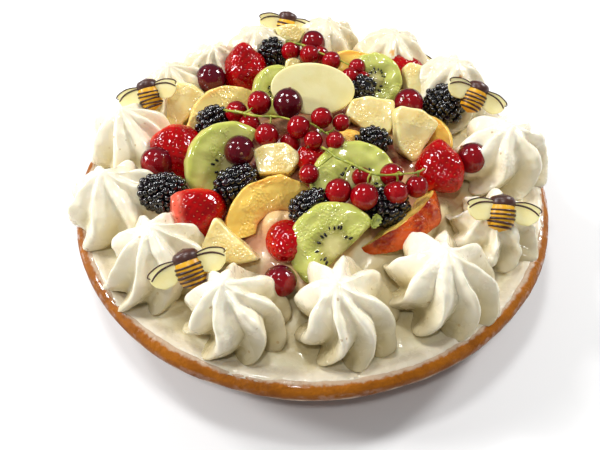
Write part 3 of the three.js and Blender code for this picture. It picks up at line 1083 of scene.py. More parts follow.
def evened(points: np.ndarray, passes: int) -> np.ndarray:
    """Evens out a closed line by averaging its points with their neighbours.

    Args:
        points: The line's points.
        passes: How often that is done.

    Returns:
        The new points.
    """
    for _ in range(passes):
        points = 0.25 * np.roll(points, 1, 0) + 0.5 * points + 0.25 * np.roll(points, -1, 0)
    return points


def rounded(outline: Sequence[Sequence[float]], count: int, passes: int) -> np.ndarray:
    """A closed outline with even points and rounded corners.

    Args:
        outline: The corners, in order.
        count: How many points the result has.
        passes: How often the points are evened out, which rounds the corners.

    Returns:
        An array of (count, 2).
    """
    corners = np.asarray(outline, float)
    closed = np.vstack([corners, corners[:1]])
    lengths = np.concatenate([[0], np.cumsum(np.linalg.norm(np.diff(closed, axis=0), axis=1))])
    place = np.linspace(0, lengths[-1], count, endpoint=False)
    points = np.stack([np.interp(place, lengths, closed[:, axis]) for axis in (0, 1)], -1)
    return evened(points, passes)


def slab_rings(outline: np.ndarray, thickness: float, bevel: float, rows: int) -> np.ndarray:
    """Rings of a slab whose two faces are filled from the middle outwards.

    Args:
        outline: Its outline, an array of (points, 2).
        thickness: Its thickness along Z.
        bevel: The radius of its rounded edges.
        rows: How many rings each face has.

    Returns:
        The rings from the lower face's middle to the upper face's middle.
    """
    middle = outline.mean(0)
    span = np.linalg.norm(outline - middle, axis=1)
    half = thickness / 2
    face = [(share, -bevel, -half) for share in np.linspace(0, 1, rows + 1)[1:-1]]
    turn = np.linspace(0, math.pi / 2, BEVEL_RINGS)
    edge = [(1.0, bevel * (math.sin(a) - 1), -half + bevel * (1 - math.cos(a))) for a in turn]
    wall = [(1.0, 0.0, z) for z in np.linspace(-half + bevel, half - bevel, WALL_RINGS)[1:-1]]
    lower = [*face, *edge]
    upper = [(share, shift, -z) for share, shift, z in reversed(lower)]
    rings = []
    for share, shift, z in [*lower, *wall, *upper]:
        reach = np.maximum(span + shift, SMALLEST_REACH) * share / span
        flat = middle + (outline - middle) * reach[:, None]
        rings.append(np.column_stack([flat, np.full(len(flat), z)]))
    return np.array(rings)


def outward(rings: np.ndarray) -> np.ndarray:
    """Unit normals of a closed surface made of rings.

    Args:
        rings: Its points, as an array of (rings, points around, 3).

    Returns:
        The normals, in an array of the same form.
    """
    along = np.gradient(rings, axis=0)
    across = np.roll(rings, -1, 1) - np.roll(rings, 1, 1)
    normal = np.cross(across, along)
    normal /= np.linalg.norm(normal, axis=-1, keepdims=True) + 1e-9
    centre = rings.mean((0, 1))
    if np.einsum("ijk,ijk->", normal, rings - centre) < 0:
        normal = -normal
    return normal


def pushed(rings: np.ndarray, amount: np.ndarray) -> np.ndarray:
    """Rings moved out along their surface's normals, by an amount at each point."""
    return rings + outward(rings) * amount[..., None]


# ---------------- pastry and cream


@dataclass
class PastryShell:
    """The pastry shell: sloping wall, rounded uneven rim and flat floor."""

    around: int = 320
    lip_height: float = RIM_HEIGHT - 6.3
    lip_width: float = 0.95
    base: Outline = ((1, 0.0), (40, 0.0), (80, 0.0), (110, 0.0), (BASE_RADIUS - 3, 0.0))
    wall: Outline = (
        (BASE_RADIUS - 0.6, 0.3),
        (BASE_RADIUS + 1.5, 3),
        (130.5, 16),
        (TART_RADIUS - 3.2, RIM_HEIGHT - 9),
    )
    rim: Outline = (
        (TART_RADIUS - 2.8, RIM_HEIGHT - 8.6),
        (TART_RADIUS - 0.7, RIM_HEIGHT - 7.4),
        (TART_RADIUS - 0.1, RIM_HEIGHT - 6.2),
        (TART_RADIUS - 0.5, RIM_HEIGHT - 4.4),
        (TART_RADIUS - 1.8, RIM_HEIGHT - 2.2),
        (TART_RADIUS - 4.4, RIM_HEIGHT - 0.4),
        (TART_RADIUS - 7.6, RIM_HEIGHT - 0.3),
        (TART_RADIUS - RIM_WIDTH, RIM_HEIGHT - 4),
    )
    inner: Outline = ((129.2, 31), (120.5, 12), (BASE_RADIUS - WALL_THICKNESS, FLOOR_THICKNESS))
    floor: Outline = ((100, FLOOR_THICKNESS), (60, FLOOR_THICKNESS), (1, FLOOR_THICKNESS))
    rim_zone: Band = (RIM_HEIGHT - 12, RIM_HEIGHT - 4)
    rim_reach: Band = (126, 132)
    wall_zone: Band = (0.5, 6)
    wall_reach: Band = (120, 124)
    lip_reach: Band = (137.6, 138.6)
    wash_zone: Band = (RIM_HEIGHT - 7, RIM_HEIGHT - 3)
    # Where the painted shade on the outer wall falls.
    foot_zone: Band = (RIM_HEIGHT - 2, RIM_HEIGHT - 7)
    foot_reach: Band = (120, 126)
    film_zone: Band = (RIM_HEIGHT - 6, RIM_HEIGHT - 3)
    film_reach: Band = (138.2, 132.5)

    def rings(self) -> np.ndarray:
        """The shell's surface, from the middle of its underside to the middle of its floor."""
        wall, rim, inner = smooth_line(self.wall, 18), smooth_line(self.rim, 46), smooth_line(self.inner, 10)
        return turned(np.vstack([self.base, wall, rim, inner, self.floor]), self.around)

    def shape(self) -> Shape:
        """The shell with hand-pressed unevenness, a pale lip that is partly dry edge and partly painted
        highlight, streaks of egg wash, and a mark for painted shade on its outer wall.

        Returns:
            Its skin, in the tart's frame.
        """
        rings = self.rings()
        height = rings[..., 2]
        radius = np.hypot(rings[..., 0], rings[..., 1])
        rim = soft_step(height, *self.rim_zone) * soft_step(radius, *self.rim_reach)
        wall = soft_step(height, *self.wall_zone) * (1 - rim) * soft_step(radius, *self.wall_reach)
        swell = wobble(rings, 60, 3) * 0.35 + wobble(rings, 17, 4) * 0.1
        pits = wobble(rings, 4.5, 5) * 0.05
        shift = rim * (swell + pits - 0.2) + wall * (swell * 0.8 + pits - 0.3)
        rings = pushed(rings, np.minimum(shift, 0.0))
        # The pale lip: partly the dry edge, partly a painted highlight along the outer edge.
        lip = np.exp(-(((height - self.lip_height) / self.lip_width) ** 2))
        lip *= soft_step(radius, *self.lip_reach)
        lip *= 0.45 + 0.3 * wobble(rings, 9, 8) + 0.2 * wobble(rings, 3, 9)
        streak = soft_step(wobble(rings, 15, 6) + 0.5 * wobble(rings, 5, 7), -0.5, 0.3)
        wash = rim * soft_step(height, *self.wash_zone) * streak
        # Painted shade: marks the outer wall below the rim for darkening.
        foot = soft_step(height, *self.foot_zone) * soft_step(radius, *self.foot_reach)
        film = soft_step(radius, *self.film_reach) * soft_step(height, *self.film_zone)
        return closed_skin(rings, {"lip": np.clip(lip, 0, 1), "egg_wash": wash, "foot": foot, "film": film})

    def build(self) -> None:
        """Adds the shell to the tart."""
        add_piece("pastry_shell", [self.shape()], [Pastry()], ["crust"])


@dataclass
class CreamFilling:
    """The cream that fills the shell, smeared up its rim, with a dome under the fruit."""

    around: int = 340
    edge: float = TART_RADIUS - 4.6
    stained_reach: float = 86.0
    pool_reach: tuple[float, ...] = (0.0, 30.0, 55.0, 72.0, 82.0, 92.0)
    pool_height: tuple[float, ...] = (53.0, 51.5, 47.0, 41.0, 36.0, 30.0)
    mounds: tuple[Point, ...] = ((-21, -48, 55), (-12, -50, 54), (-64, -11, 50))
    mound_reach: float = 10.0
    mound_crown: float = 3.0
    clean_at: tuple[float, float] = (36.0, -72.0)
    clean_reach: float = 24.0
    clean_retreat: float = 30.0
    film_rings: int = 24
    dome_rings: int = 80
    smear_band: Band = (123, 130)
    # Bands of painted shade: the deep gaps under the fruit, which are partly juice, and the ring between the
    # rosettes.
    dark_band: Band = (60, 48)
    shade_ring_inside: Band = (68, 84)
    shade_ring_outside: Band = (126, 114)
    rim_reach: tuple[float, ...] = (122, 127, 130.5, 133, 135.6, 138.2)
    rim_height: tuple[float, ...] = (33.0, 34.4, 36.1, 36.8, 36.5, 34.6)

    def surface_height(self, radius: np.ndarray) -> np.ndarray:
        """The height of the cream's smooth surface at a distance from the middle."""
        dome = CREAM_DOME * 0.5 * (1 + np.cos(math.pi * np.minimum(radius, DOME_RADIUS) / DOME_RADIUS))
        return CREAM_LEVEL + dome

    def shape(self) -> Shape:
        """The filling, with its uneven surface, the juice under the fruit, and marks for painted shade
        between the rosettes and in the deep gaps under the fruit.

        Returns:
            Its skin, in the tart's frame.
        """
        under = [(1, 6.4), (116.0, 6.4), (127.6, 28), (self.edge - 1.5, RIM_HEIGHT - 2.6)]
        film_reach = np.linspace(self.edge, 124, self.film_rings)
        reach = np.concatenate([film_reach, np.linspace(123, 1, self.dome_rings)])
        profile = np.vstack([under, np.column_stack([reach, self.surface_height(reach)])])
        rings = turned(profile, self.around)
        top = np.zeros(len(profile))
        top[len(under):] = 1
        radius = np.hypot(rings[..., 0], rings[..., 1])
        smear = soft_step(radius, *self.smear_band) * top[:, None]
        waves = wobble(rings, 26, 11) * 0.7 + wobble(rings, 9, 12) * 0.25
        pool = np.interp(radius, self.pool_reach, self.pool_height) - rings[..., 2]
        gold = np.zeros(radius.shape)
        for x, y, height in self.mounds:
            away = np.hypot(rings[..., 0] - x, rings[..., 1] - y)
            near = soft_step(away, self.mound_reach, self.mound_crown)
            pool = np.maximum(pool, near * (height - rings[..., 2]) + (1 - near) * pool)
            gold = np.maximum(gold, near)
        rings[..., 2] += np.maximum(pool + 1.2 * wobble(rings, 17, 15), 0) * top[:, None]
        rim = np.interp(radius, self.rim_reach, self.rim_height)
        film = 0.5 - 0.9 * soft_step(radius, 130.5, self.edge + 0.6)
        film += 0.14 * wobble(rings, 14, 13) + 0.06 * wobble(rings, 4, 14)
        level = np.maximum(rings[..., 2] + waves, rim + film)
        rings[..., 2] += top[:, None] * (level - rings[..., 2])
        spread = radius + 7 * wobble(rings, 30, 16)
        clean = np.hypot(rings[..., 0] - self.clean_at[0], rings[..., 1] - self.clean_at[1])
        spread += self.clean_retreat * soft_step(clean, self.clean_reach, 10)
        juice = soft_step(spread, self.stained_reach, self.stained_reach - 12) * top[:, None]
        # The deep gaps under the fruit: partly juice, partly painted shade.
        deep = soft_step(spread, *self.dark_band) * top[:, None]
        # Painted shade: the ring between the rosettes.
        between = soft_step(radius, *self.shade_ring_outside) * soft_step(radius, *self.shade_ring_inside)
        between *= top[:, None]
        marks = {"juice": juice, "film": smear, "deep": deep, "gold": gold, "between": between}
        return closed_skin(rings, marks)

    def build(self) -> None:
        """Adds the filling to the tart."""
        add_piece("cream_filling", [self.shape()], [FillingCream()], ["cream_layer"])


ROSETTE_ROWS = 52
ROSETTE_AROUND = ROSETTE_RIDGES * 16
ROSETTE_SIDE = ((0.84, 0.0), (0.97, 0.08), (1.0, 0.2), (0.98, 0.36), (0.92, 0.52), (0.81, 0.68))
ROSETTE_DOME = ((0.66, 0.81), (0.47, 0.9), (0.28, 0.955), (0.12, 0.985), (0.02, 1.0))
ROSETTE_CONE = ((0.56, 0.8), (0.34, 0.88), (0.17, 0.94), (0.08, 0.975), (0.02, 1.0))
ROSETTE_LIMIT = TART_RADIUS - 1


@dataclass(frozen=True)
class Rosette:
    """One piped rosette: ridges that turn as they rise, and run out into petals at the foot."""

    number: int
    angle: float
    distance: float
    width: float
    height: float
    lean: tuple[float, float] = (0.0, 0.0)
    peak: float = 0.3
    inward: float = 1.0
    outward: float = 1.0
    depth: float = 0.34
    rough: float = 1.0
    juice: tuple[tuple[float, float], ...] = ()
    juice_reach: float = 2.8

    def in_tart(self, rings: np.ndarray) -> np.ndarray:
        """Stretches the rosette towards or away from the tart's middle and puts it in its place.

        Args:
            rings: Its points, about its own axis.

        Returns:
            The points in the tart's frame, none of them past the rim.
        """
        turn = math.radians(self.angle)
        inner = np.array([-math.cos(turn), -math.sin(turn), 0.0])
        along = rings @ inner
        stretch = np.where(along > 0, self.inward - 1, self.outward - 1)
        rings += inner * (along * stretch)[..., None]
        rings += (self.distance * math.cos(turn), self.distance * math.sin(turn), CREAM_LEVEL - 0.6)
        reach = np.hypot(rings[..., 0], rings[..., 1])
        kept = np.minimum(reach, ROSETTE_LIMIT - 0.3 * np.maximum(ROSETTE_LIMIT - reach, 0)) / reach
        rings[..., :2] *= kept[..., None]
        return rings

    def spots(self, rings: np.ndarray, share: np.ndarray, twist: np.ndarray) -> np.ndarray:
        """The spots of juice.

        Args:
            rings: The rosette's points.
            share: The height of each ring, from 0 to 1.
            twist: How far each ring is turned, in radians.

        Returns:
            How much juice each point has, from 0 to 1.
        """
        juice = np.zeros(rings.shape[:2])
        for compass, level in self.juice:
            row = int(np.argmin(np.abs(share[:, 0] - level)))
            ahead = math.radians(compass) - float(twist[row, 0])
            column = round(ahead * ROSETTE_AROUND / (2 * math.pi)) % ROSETTE_AROUND
            away = np.linalg.norm(rings - rings[row, column], axis=-1)
            away += 0.8 * wobble(rings, 3, Seed.ROSETTE + 250 + self.number)
            juice = np.maximum(juice, soft_step(away, self.juice_reach, self.juice_reach - 1.4))
        return juice

    def shape(self) -> Shape:
        """The rosette in the tart's frame.

        Returns:
            Its skin, which holds its hollows and its shaded side, both for painted shade, and its spots of
            juice.
        """
        seed = Seed.ROSETTE + self.number
        draw = np.random.default_rng(seed)
        crown = np.add(ROSETTE_DOME, np.subtract(ROSETTE_CONE, ROSETTE_DOME) * self.peak)
        profile = smooth_line([*ROSETTE_SIDE, *crown], ROSETTE_ROWS)
        share = profile[:, 1:2]
        angle = np.arange(ROSETTE_AROUND)[None, :] * 2 * math.pi / ROSETTE_AROUND
        drift = random_waves(angle, (1, 2, 3), 0.02, 0.06, draw)
        uneven = 1 + random_waves(angle, (1, 2, 3, 5), 0.03, 0.09, draw)
        # The creases between the ridges are narrow at the foot and blunter towards the tip.
        phase = ROSETTE_RIDGES * (angle + drift) / 2
        wave = np.abs(np.sin(phase - 0.35 * np.sin(phase) ** 2))
        blunt = 0.42 + 0.3 * soft_step(share, 0.55, 0.9)
        crease = (np.sqrt(wave**2 + blunt**2) - blunt) / (np.sqrt(1 + blunt**2) - blunt)
        depth = self.depth * uneven * (0.85 + 0.2 * soft_step(share, 0.1, 0.5)) * soft_step(share, 1.0, 0.8)
        petal = 0.05 * (1 - crease) * np.exp(-(((share - 0.14) / 0.13) ** 2))
        radius = profile[:, :1] * (1 - depth * crease + petal) * ROSETTE_RADIUS * self.width
        # The ridges turn as they rise, and the tip leans and ends in a small bent nub.
        twist = ROSETTE_TWIST * share + draw.uniform(0.25, 0.42) * np.sin(math.pi * share)
        heading = angle + twist
        nub = draw.uniform(-2.2, 2.2, 2)
        shift = share**2 * np.array(self.lean) + share**6 * nub
        sink = 2.4 * crease * soft_step(share, 0.35, 0.75) * soft_step(share, 1.0, 0.86)
        rise = (share * ROSETTE_HEIGHT * self.height - sink) * np.ones_like(heading)
        east, north = radius * np.cos(heading) + shift[:, :1], radius * np.sin(heading) + shift[:, 1:]
        rings = np.stack([east, north, rise], -1)
        # Large dents, small dents, and the fine lines that the nozzle leaves.
        relief = wobble(rings, 24, seed + 100) * 0.7 + wobble(rings, 9, seed + 150) * 0.25
        relief += wobble(rings, 4.5, seed + 200) * 0.05 + 0.05 * np.sin(phase * 10 + 3 * relief)
        rings = self.in_tart(pushed(rings, relief * self.rough * soft_step(share, 0, 0.1)))
        # Painted shade: the lower front of rosettes at the front, and all of those at the back, are marked
        # for darkening.
        toward_back = math.sin(math.radians(self.angle))
        front = 0.25 + 0.75 * max(-toward_back, 0.0)
        back = 0.45 * max(toward_back, 0.0)
        marks = {
            "hollow": crease * soft_step(share, 0.9, 0.45) * np.ones_like(heading),
            "shade": np.maximum(front * soft_step(share, 0.75, 0.1), back) * np.ones_like(heading),
            "juice": self.spots(rings, share, twist),
        }
        return closed_skin(rings, marks)

    def build(self) -> None:
        """Adds the rosette to the tart."""
        name = f"rosette_{self.number}"
        add_piece(name, [self.shape()], [WhippedCream()], ["piped_border"])


ROSETTES = [
    Rosette(1, -82, 104, 1.0, 0.98, (-6, 1), inward=1.28),
    Rosette(2, -111, 107, 1.0, 0.94, (-7, -2)),
    Rosette(3, -139, 105, 1.0, 1.02, (0, 3), peak=0.5, outward=1.22, depth=0.29),
    Rosette(4, -163, 110, 1.06, 1.02, (-5, 3), peak=0.6, outward=1.1, depth=0.26),
    Rosette(5, 170, 108, 1.04, 1.02, (-4, 4), peak=0.7, outward=1.08, depth=0.26),
    Rosette(6, 143, 108, 0.98, 0.98, peak=0.5, depth=0.26),
    Rosette(7, 126, 107, 0.96, 1.02, peak=0.5, depth=0.26),
    Rosette(8, 107, 108, 1.1, 1.04, depth=0.21),
    Rosette(9, 83, 109, 1.06, 1.06, peak=0.2, depth=0.21),
    Rosette(10, 59, 110, 1.12, 1.05, peak=0.2, depth=0.21, juice=((235, 0.8), (262, 0.86))),
    Rosette(11, 34, 109, 1.06, 1.06, peak=0.1, depth=0.21, juice=((280, 0.9),)),
    Rosette(12, 1, 112, 1.1, 1.02, depth=0.3),
    Rosette(13, -28, 108, 0.98, 0.7, peak=0.2, rough=2.0),
    Rosette(14, -54, 107, 1.12, 0.98, (-4, 0), inward=1.08),
]


# ---------------- berries


@dataclass(frozen=True)
class Grape:
    """A dark grape with a painted red glow on its front side, and a small scar where its stalk was."""

    number: int
    at: Point
    radius: float
    # Where the painted glow falls, how far it spreads and how strong it is.
    glow_side: Point = (-0.1, -0.9, 0.35)
    glow_spread: float = 0.55
    glow_strength: float = 1.0
    mesh: tuple[int, int] = (34, 50)
    scar_size: Point = (0.9, 0.9, 0.5)

    def build(self) -> None:
        """Adds the grape to the tart."""
        seed = Seed.GRAPE + self.number
        draw = np.random.default_rng(seed)
        body = ball(*self.mesh)
        stretch = np.diag([draw.uniform(0.97, 1.0), draw.uniform(0.97, 1.0), draw.uniform(0.98, 1.02)])
        points = body.points @ (stretch * self.radius)
        points += body.points * (wobble(points, 14, seed) * 0.12)[:, None]
        # Painted light: the skin glows redder on one side, as if lit through.
        toward = np.array(self.glow_side) / np.linalg.norm(self.glow_side)
        glow = self.glow_strength * soft_step(body.points @ toward, 0.6 - self.glow_spread, 1.02)
        skin = Shape(points, body.quads, body.tris, {"glow": glow})
        stalk_end = draw.normal(size=3) + (0, 0, 0.8)
        stalk_end /= np.linalg.norm(stalk_end)
        turn = basis(stalk_end) @ np.diag(self.scar_size)
        scar = ball(4, 10).moved(turn, stalk_end * self.radius, finish=1)
        finishes = [
            GlazedSkin(tint(54, 5, 22), tint(138, 6, 16), tint(108, 50, 68), 0.14),
            PlainGloss(tint(150, 100, 60), tint(96, 56, 34)),
        ]
        name = f"grape_{self.number}"
        add_piece(f"dark_{name}", [skin, scar], finishes, [name], Pose(self.at))


GRAPES = [
    Grape(1, (-89, -6, 54.5), 9.2, glow_spread=1.0),
    Grape(2, (-40, -10, 66), 8.8, glow_spread=0.9, glow_strength=0.35),
    Grape(3, (-13, 28, 68), 9.2, glow_spread=0.9, glow_strength=0.3),
    Grape(4, (-63, 66, 59), 9.8, glow_spread=0.9, glow_strength=0.3),
    Grape(5, (4, 93, 66), 8.2, glow_spread=0.7),
    Grape(6, (61, 38, 58), 9.4, glow_spread=0.9),
    Grape(7, (92, -7, 54), 9.0, glow_spread=0.9),
    Grape(8, (-18, -84, 46), 8.6, glow_spread=1.0),
]


@dataclass(frozen=True)
class Bramble:
    """A bramble: a heap of dark beads in staggered rings about its axis."""

    number: int
    length: float
    radius: float
    pose: Pose
    bead: float = 2.0
    heights: tuple[float, ...] = (-1, -0.8, -0.42, 0, 0.45, 0.82, 1)
    widths: tuple[float, ...] = (0.2, 0.66, 0.95, 1, 0.88, 0.56, 0.12)
    hair_count: int = 9

    def envelope(self, share: float) -> float:
        """The berry's radius at a height, which runs from -1 at its blunt end to 1 at its tip."""
        return float(np.interp(share, self.heights, self.widths) * self.radius)

    def build(self) -> None:
        """Adds the bramble to the tart."""
        draw = np.random.default_rng(Seed.BRAMBLE + self.number)
        half = self.length / 2
        reach_up = half - self.bead * 0.6
        template = ball(6, 9)
        core = ball(14, 20).moved(np.diag([self.radius * 0.8, self.radius * 0.8, half * 0.86]), (0, 0, 0))
        shapes = [core.marked(tone=0.0)]
        rings = max(4, round(self.length / (self.bead * 1.55)))
        for ring in range(rings):
            share = -0.93 + 1.86 * ring / (rings - 1)
            reach = max(self.envelope(share) - self.bead * 0.62, 0.0)
            count = max(1, round(2 * math.pi * reach / (self.bead * 1.72)))
            for i in range(count):
                angle = 2 * math.pi * (i + 0.5 * (ring % 2) + draw.uniform(-0.08, 0.08)) / count
                size = self.bead * draw.uniform(0.78, 1.2)
                jitter = draw.normal(size=3) * 0.32
                out = np.array([math.cos(angle), math.sin(angle), 0.9 * share])
                middle = np.array([reach * math.cos(angle), reach * math.sin(angle), share * reach_up])
                turn = basis(out) @ np.diag([size, size, size * 1.12])
                tone = draw.choice([0.0, 0.15, 0.5], p=[0.7, 0.22, 0.08])
                shapes.append(template.moved(turn, middle + jitter).marked(tone=tone))
        shapes.extend(self.hairs(draw))
        name = f"bramble_{self.number}"
        finishes = [Drupelet(), PlainGloss(tint(150, 104, 60), tint(96, 60, 40))]
        add_piece(f"beaded_{name}", shapes, finishes, [name], self.pose)

    def hairs(self, draw: np.random.Generator) -> list[Shape]:
        """A few dry hairs between the beads.

        Args:
            draw: The source of their places and of their bends.

        Returns:
            The hairs.
        """
        made = []
        thinning = np.linspace(0.11, 0.05, 6)
        for _ in range(self.hair_count):
            share, angle = draw.uniform(-0.8, 0.8), draw.uniform(0, 2 * math.pi)
            reach = self.envelope(share)
            start = np.array([reach * math.cos(angle), reach * math.sin(angle), share * self.length / 2])
            away = start / np.linalg.norm(start) + draw.normal(size=3) * 0.5
            tip = start + away * 0.9 + draw.normal(size=3) * 0.5
            line = smooth_line([start - away, start + away * 0.4, tip], len(thinning))
            made.append(tube(line, thinning, 5, finish=1))
        return made


BRAMBLES = [
    Bramble(1, 24, 9.5, Pose((-24, 90, 60), 150, 20)),
    Bramble(2, 25, 9.5, Pose((-58, 27, 56), 120, 85)),
    Bramble(3, 30, 10.5, Pose((-81, -33, 58), -95, 88)),
    Bramble(4, 29, 9, Pose((-42, -27, 58), 124, 85)),
    Bramble(5, 20, 8.5, Pose((33, 50, 60), 90, 30)),
    Bramble(6, 28, 11.5, Pose((84, 41, 54), 40, 110)),
    Bramble(7, 22, 8.5, Pose((36, 5, 58), 90, 90)),
    Bramble(8, 27, 10, Pose((-1, -45, 56), 125, 85)),
    Bramble(9, 27, 10.5, Pose((39, -43, 54), 95, 95)),
]


@dataclass(frozen=True)
class Strawberry:
    """A strawberry, its seeds sunk in pits, halved where it has a cut side."""

    number: int
    length: float
    radius: float
    pose: Pose
    side: Optional[float] = None
    pitch: float = 3.8
    shoulder: Outline = ((0.05, -0.94), (0.45, -0.98), (0.8, -0.86), (0.98, -0.55), (0.98, -0.15))
    tip: Outline = ((0.84, 0.24), (0.62, 0.56), (0.36, 0.84), (0.16, 0.96), (0.03, 1.0))
    rows: int = 66
    around: int = 104
    seed_size: Point = (0.38, 0.6, 0.3)
    pit_radius: float = 1.05
    pit_depth: float = 0.36
    pad_height: float = 0.12

    def profile(self, count: int) -> np.ndarray:
        """The berry's outline from its shoulder to its tip, as [radius, height] points."""
        return smooth_line([*self.shoulder, *self.tip], count) * (self.radius, self.length / 2)

    def seed_places(self) -> np.ndarray:
        """Where the seeds sit: evenly over the skin, each a golden angle on from the last.

        Returns:
            A row for each seed, with its share of the way along the outline and its angle.
        """
        samples = 200
        outline = self.profile(samples)
        steps = np.linalg.norm(np.diff(outline, axis=0), axis=1)
        area = np.concatenate([[0], np.cumsum(steps * outline[1:, 0])])
        count = int(2 * math.pi * area[-1] / (self.pitch**2 * 0.9))
        wanted = (np.arange(count) + 0.5) / count * area[-1]
        row = np.interp(wanted, area, np.linspace(0, 1, samples))
        return np.stack([row, np.arange(count) * GOLDEN_ANGLE], -1)

    def build(self) -> None:
        """Adds the strawberry to the tart."""
        draw = np.random.default_rng(Seed.STRAWBERRY + self.number)
        rings = turned(self.profile(self.rows), self.around)
        rings = pushed(rings, wobble(rings, 20, Seed.STRAWBERRY + self.number) * 0.7)
        normal = outward(rings)
        places = self.seed_places()
        row = np.clip(np.round(places[:, 0] * (self.rows - 1)).astype(int), 1, self.rows - 2)
        column = np.round(places[:, 1] * self.around / (2 * math.pi)).astype(int) % self.around
        seeds, away = rings[row, column], normal[row, column]
        flat = rings.reshape(-1, 3)
        gap = np.full(len(flat), 9.0)
        for seed in seeds:
            gap = np.minimum(gap, np.linalg.norm(flat - seed, axis=1))
        pit = np.exp(-((gap / self.pit_radius) ** 2)).reshape(rings.shape[:2])
        pad = soft_step(gap, 1.0, 1.9).reshape(rings.shape[:2])
        rings = rings + normal * (self.pad_height * pad - self.pit_depth * pit)[..., None]
        cut = np.zeros(rings.shape[:2])
        if self.side is not None:
            cut = soft_step(-rings[..., 0], self.side - 7, self.side - 1) * 0.8
            rings[..., 0] = np.maximum(rings[..., 0], -self.side)
        pale = soft_step(rings[..., 2], -0.55 * self.length / 2, -self.length / 2) * 0.8
        shapes = [closed_skin(rings, {"pit": pit, "pale": pale, "cut": cut})]
        grain = ball(3, 6)
        for seed, out in zip(seeds, away):
            if self.side is not None and seed[0] < -self.side + 0.8:
                continue
            turn = basis(out) @ np.diag(self.seed_size) * draw.uniform(0.85, 1.1)
            shapes.append(grain.moved(turn, seed - out * 0.35, finish=1))
        finishes = [StrawberryFlesh(), PlainGloss(tint(204, 84, 34), tint(160, 30, 14), 4.0, 0.2)]
        name = f"strawberry_{self.number}"
        add_piece(f"glazed_{name}", shapes, finishes, [name], self.pose)


STRAWBERRIES = [
    Strawberry(1, 30, 15.5, Pose((-42, 78, 59), 180, 12)),
    Strawberry(2, 33, 15.5, Pose((-77, 5, 49), 30, 105)),
    Strawberry(3, 28, 17.5, Pose((-64, -45, 49), 8, 112, -15), side=13),
    Strawberry(4, 32, 13.5, Pose((73, -10, 52), 180, 45)),
    Strawberry(5, 26, 11, Pose((-15, -62, 48), 0, 70)),
    Strawberry(6, 30, 11, Pose((61, 77, 55), 90, 80)),
    Strawberry(7, 18, 8.5, Pose((2, -11, 60), 80, 70)),
]


@dataclass(frozen=True)
class CurrantSprig:
    """A sprig of red currants: a green stalk and berries on short side stalks."""

    name: str
    stalk: tuple[Point, ...]
    berries: tuple[tuple[float, float, float, float], ...]
    seed: int
    stalk_radius: float = 0.75
    stalk_points: int = 60
    mesh: tuple[int, int] = (20, 30)
    sunny_side: Point = (-0.3, -0.75, 0.35)

    def berry(
        self, centre: np.ndarray, radius: float, hang: np.ndarray, draw: np.random.Generator
    ) -> list[Shape]:
        """One berry with the dry tuft of its flower.

        Args:
            centre: Its middle.
            radius: Its radius.
            hang: The direction from its stalk's end to its tuft.
            draw: The source of its small differences.

        Returns:
            Its skin and its tuft.
        """
        body = ball(*self.mesh)
        turn = basis(hang)
        angle = np.arctan2(body.points[:, 1], body.points[:, 0])
        vein = np.maximum(np.cos(angle * 5 + draw.uniform(0, 6)), 0) ** 24 * 0.22
        # Painted light: the berry glows redder on its sunny side, as if lit through.
        sun = soft_step(body.points @ turn.T @ self.sunny_side, -0.2, 0.85)
        marks = {"vein": vein * np.hypot(body.points[:, 0], body.points[:, 1]), "glow": sun}
        shapes = [Shape(body.points @ (turn.T * radius) + centre, body.quads, body.tris, marks)]
        tuft = centre + hang * (radius - 0.1)
        shapes.append(ball(4, 8).moved(turn @ np.diag([0.85, 0.85, 0.6]), tuft, finish=2))
        for quarter in range(4):
            lean = 2 * math.pi * quarter / 4 + draw.uniform(-0.5, 0.5)
            tip = turn @ np.array([math.cos(lean) * 0.9, math.sin(lean) * 0.9, draw.uniform(0.8, 1.6)])
            line = smooth_line([tuft, tuft + tip * 0.6, tuft + tip], 5)
            shapes.append(tube(line, np.linspace(0.4, 0.12, 5), 5, finish=2))
        return shapes

    def build(self) -> None:
        """Adds the sprig to the tart."""
        draw = np.random.default_rng(self.seed)
        course = smooth_line(self.stalk, self.stalk_points)
        bent = course + np.stack([wobble(course, 16, self.seed + axis, 5) for axis in range(3)], -1) * 0.35
        taper = self.stalk_radius * (1.12 - 0.5 * np.linspace(0, 1, self.stalk_points))
        taper = taper * (1 + 0.18 * wobble(course, 6, self.seed + 5, 5))
        shapes = [tube(bent, taper, 9, finish=1)]
        for x, y, z, radius in self.berries:
            centre = np.array([x, y, z])
            joint = bent[np.argmin(np.linalg.norm(bent - centre, axis=1))]
            hang = centre - joint
            distance = np.linalg.norm(hang)
            hang = hang / distance if distance > radius * 0.5 else draw.normal(size=3)
            hang = hang / np.linalg.norm(hang)
            shapes.extend(self.berry(centre, radius, hang, draw))
            if distance > radius * 0.5:
                sway = draw.normal(size=3) * 0.6
                end = centre - hang * radius * 0.86
                line = smooth_line([joint, (joint + end) / 2 + sway, end], 10)
                shapes.append(tube(line, np.linspace(0.62, 0.42, 10), 7, finish=1))
                shapes.append(ball(5, 9).moved(np.eye(3) * 0.95, joint, finish=1))
        finishes = [
            GlazedSkin(tint(84, 0, 12), tint(162, 2, 14), tint(196, 78, 72), 0.05, 0.05, 0.25),
            PlainGloss(tint(176, 178, 62), tint(120, 132, 36), 4.0, 0.3),
            PlainGloss(tint(150, 104, 48), tint(74, 46, 24), 0.8, 0.5),
        ]
        add_piece(f"red_{self.name}", shapes, finishes, [self.name])


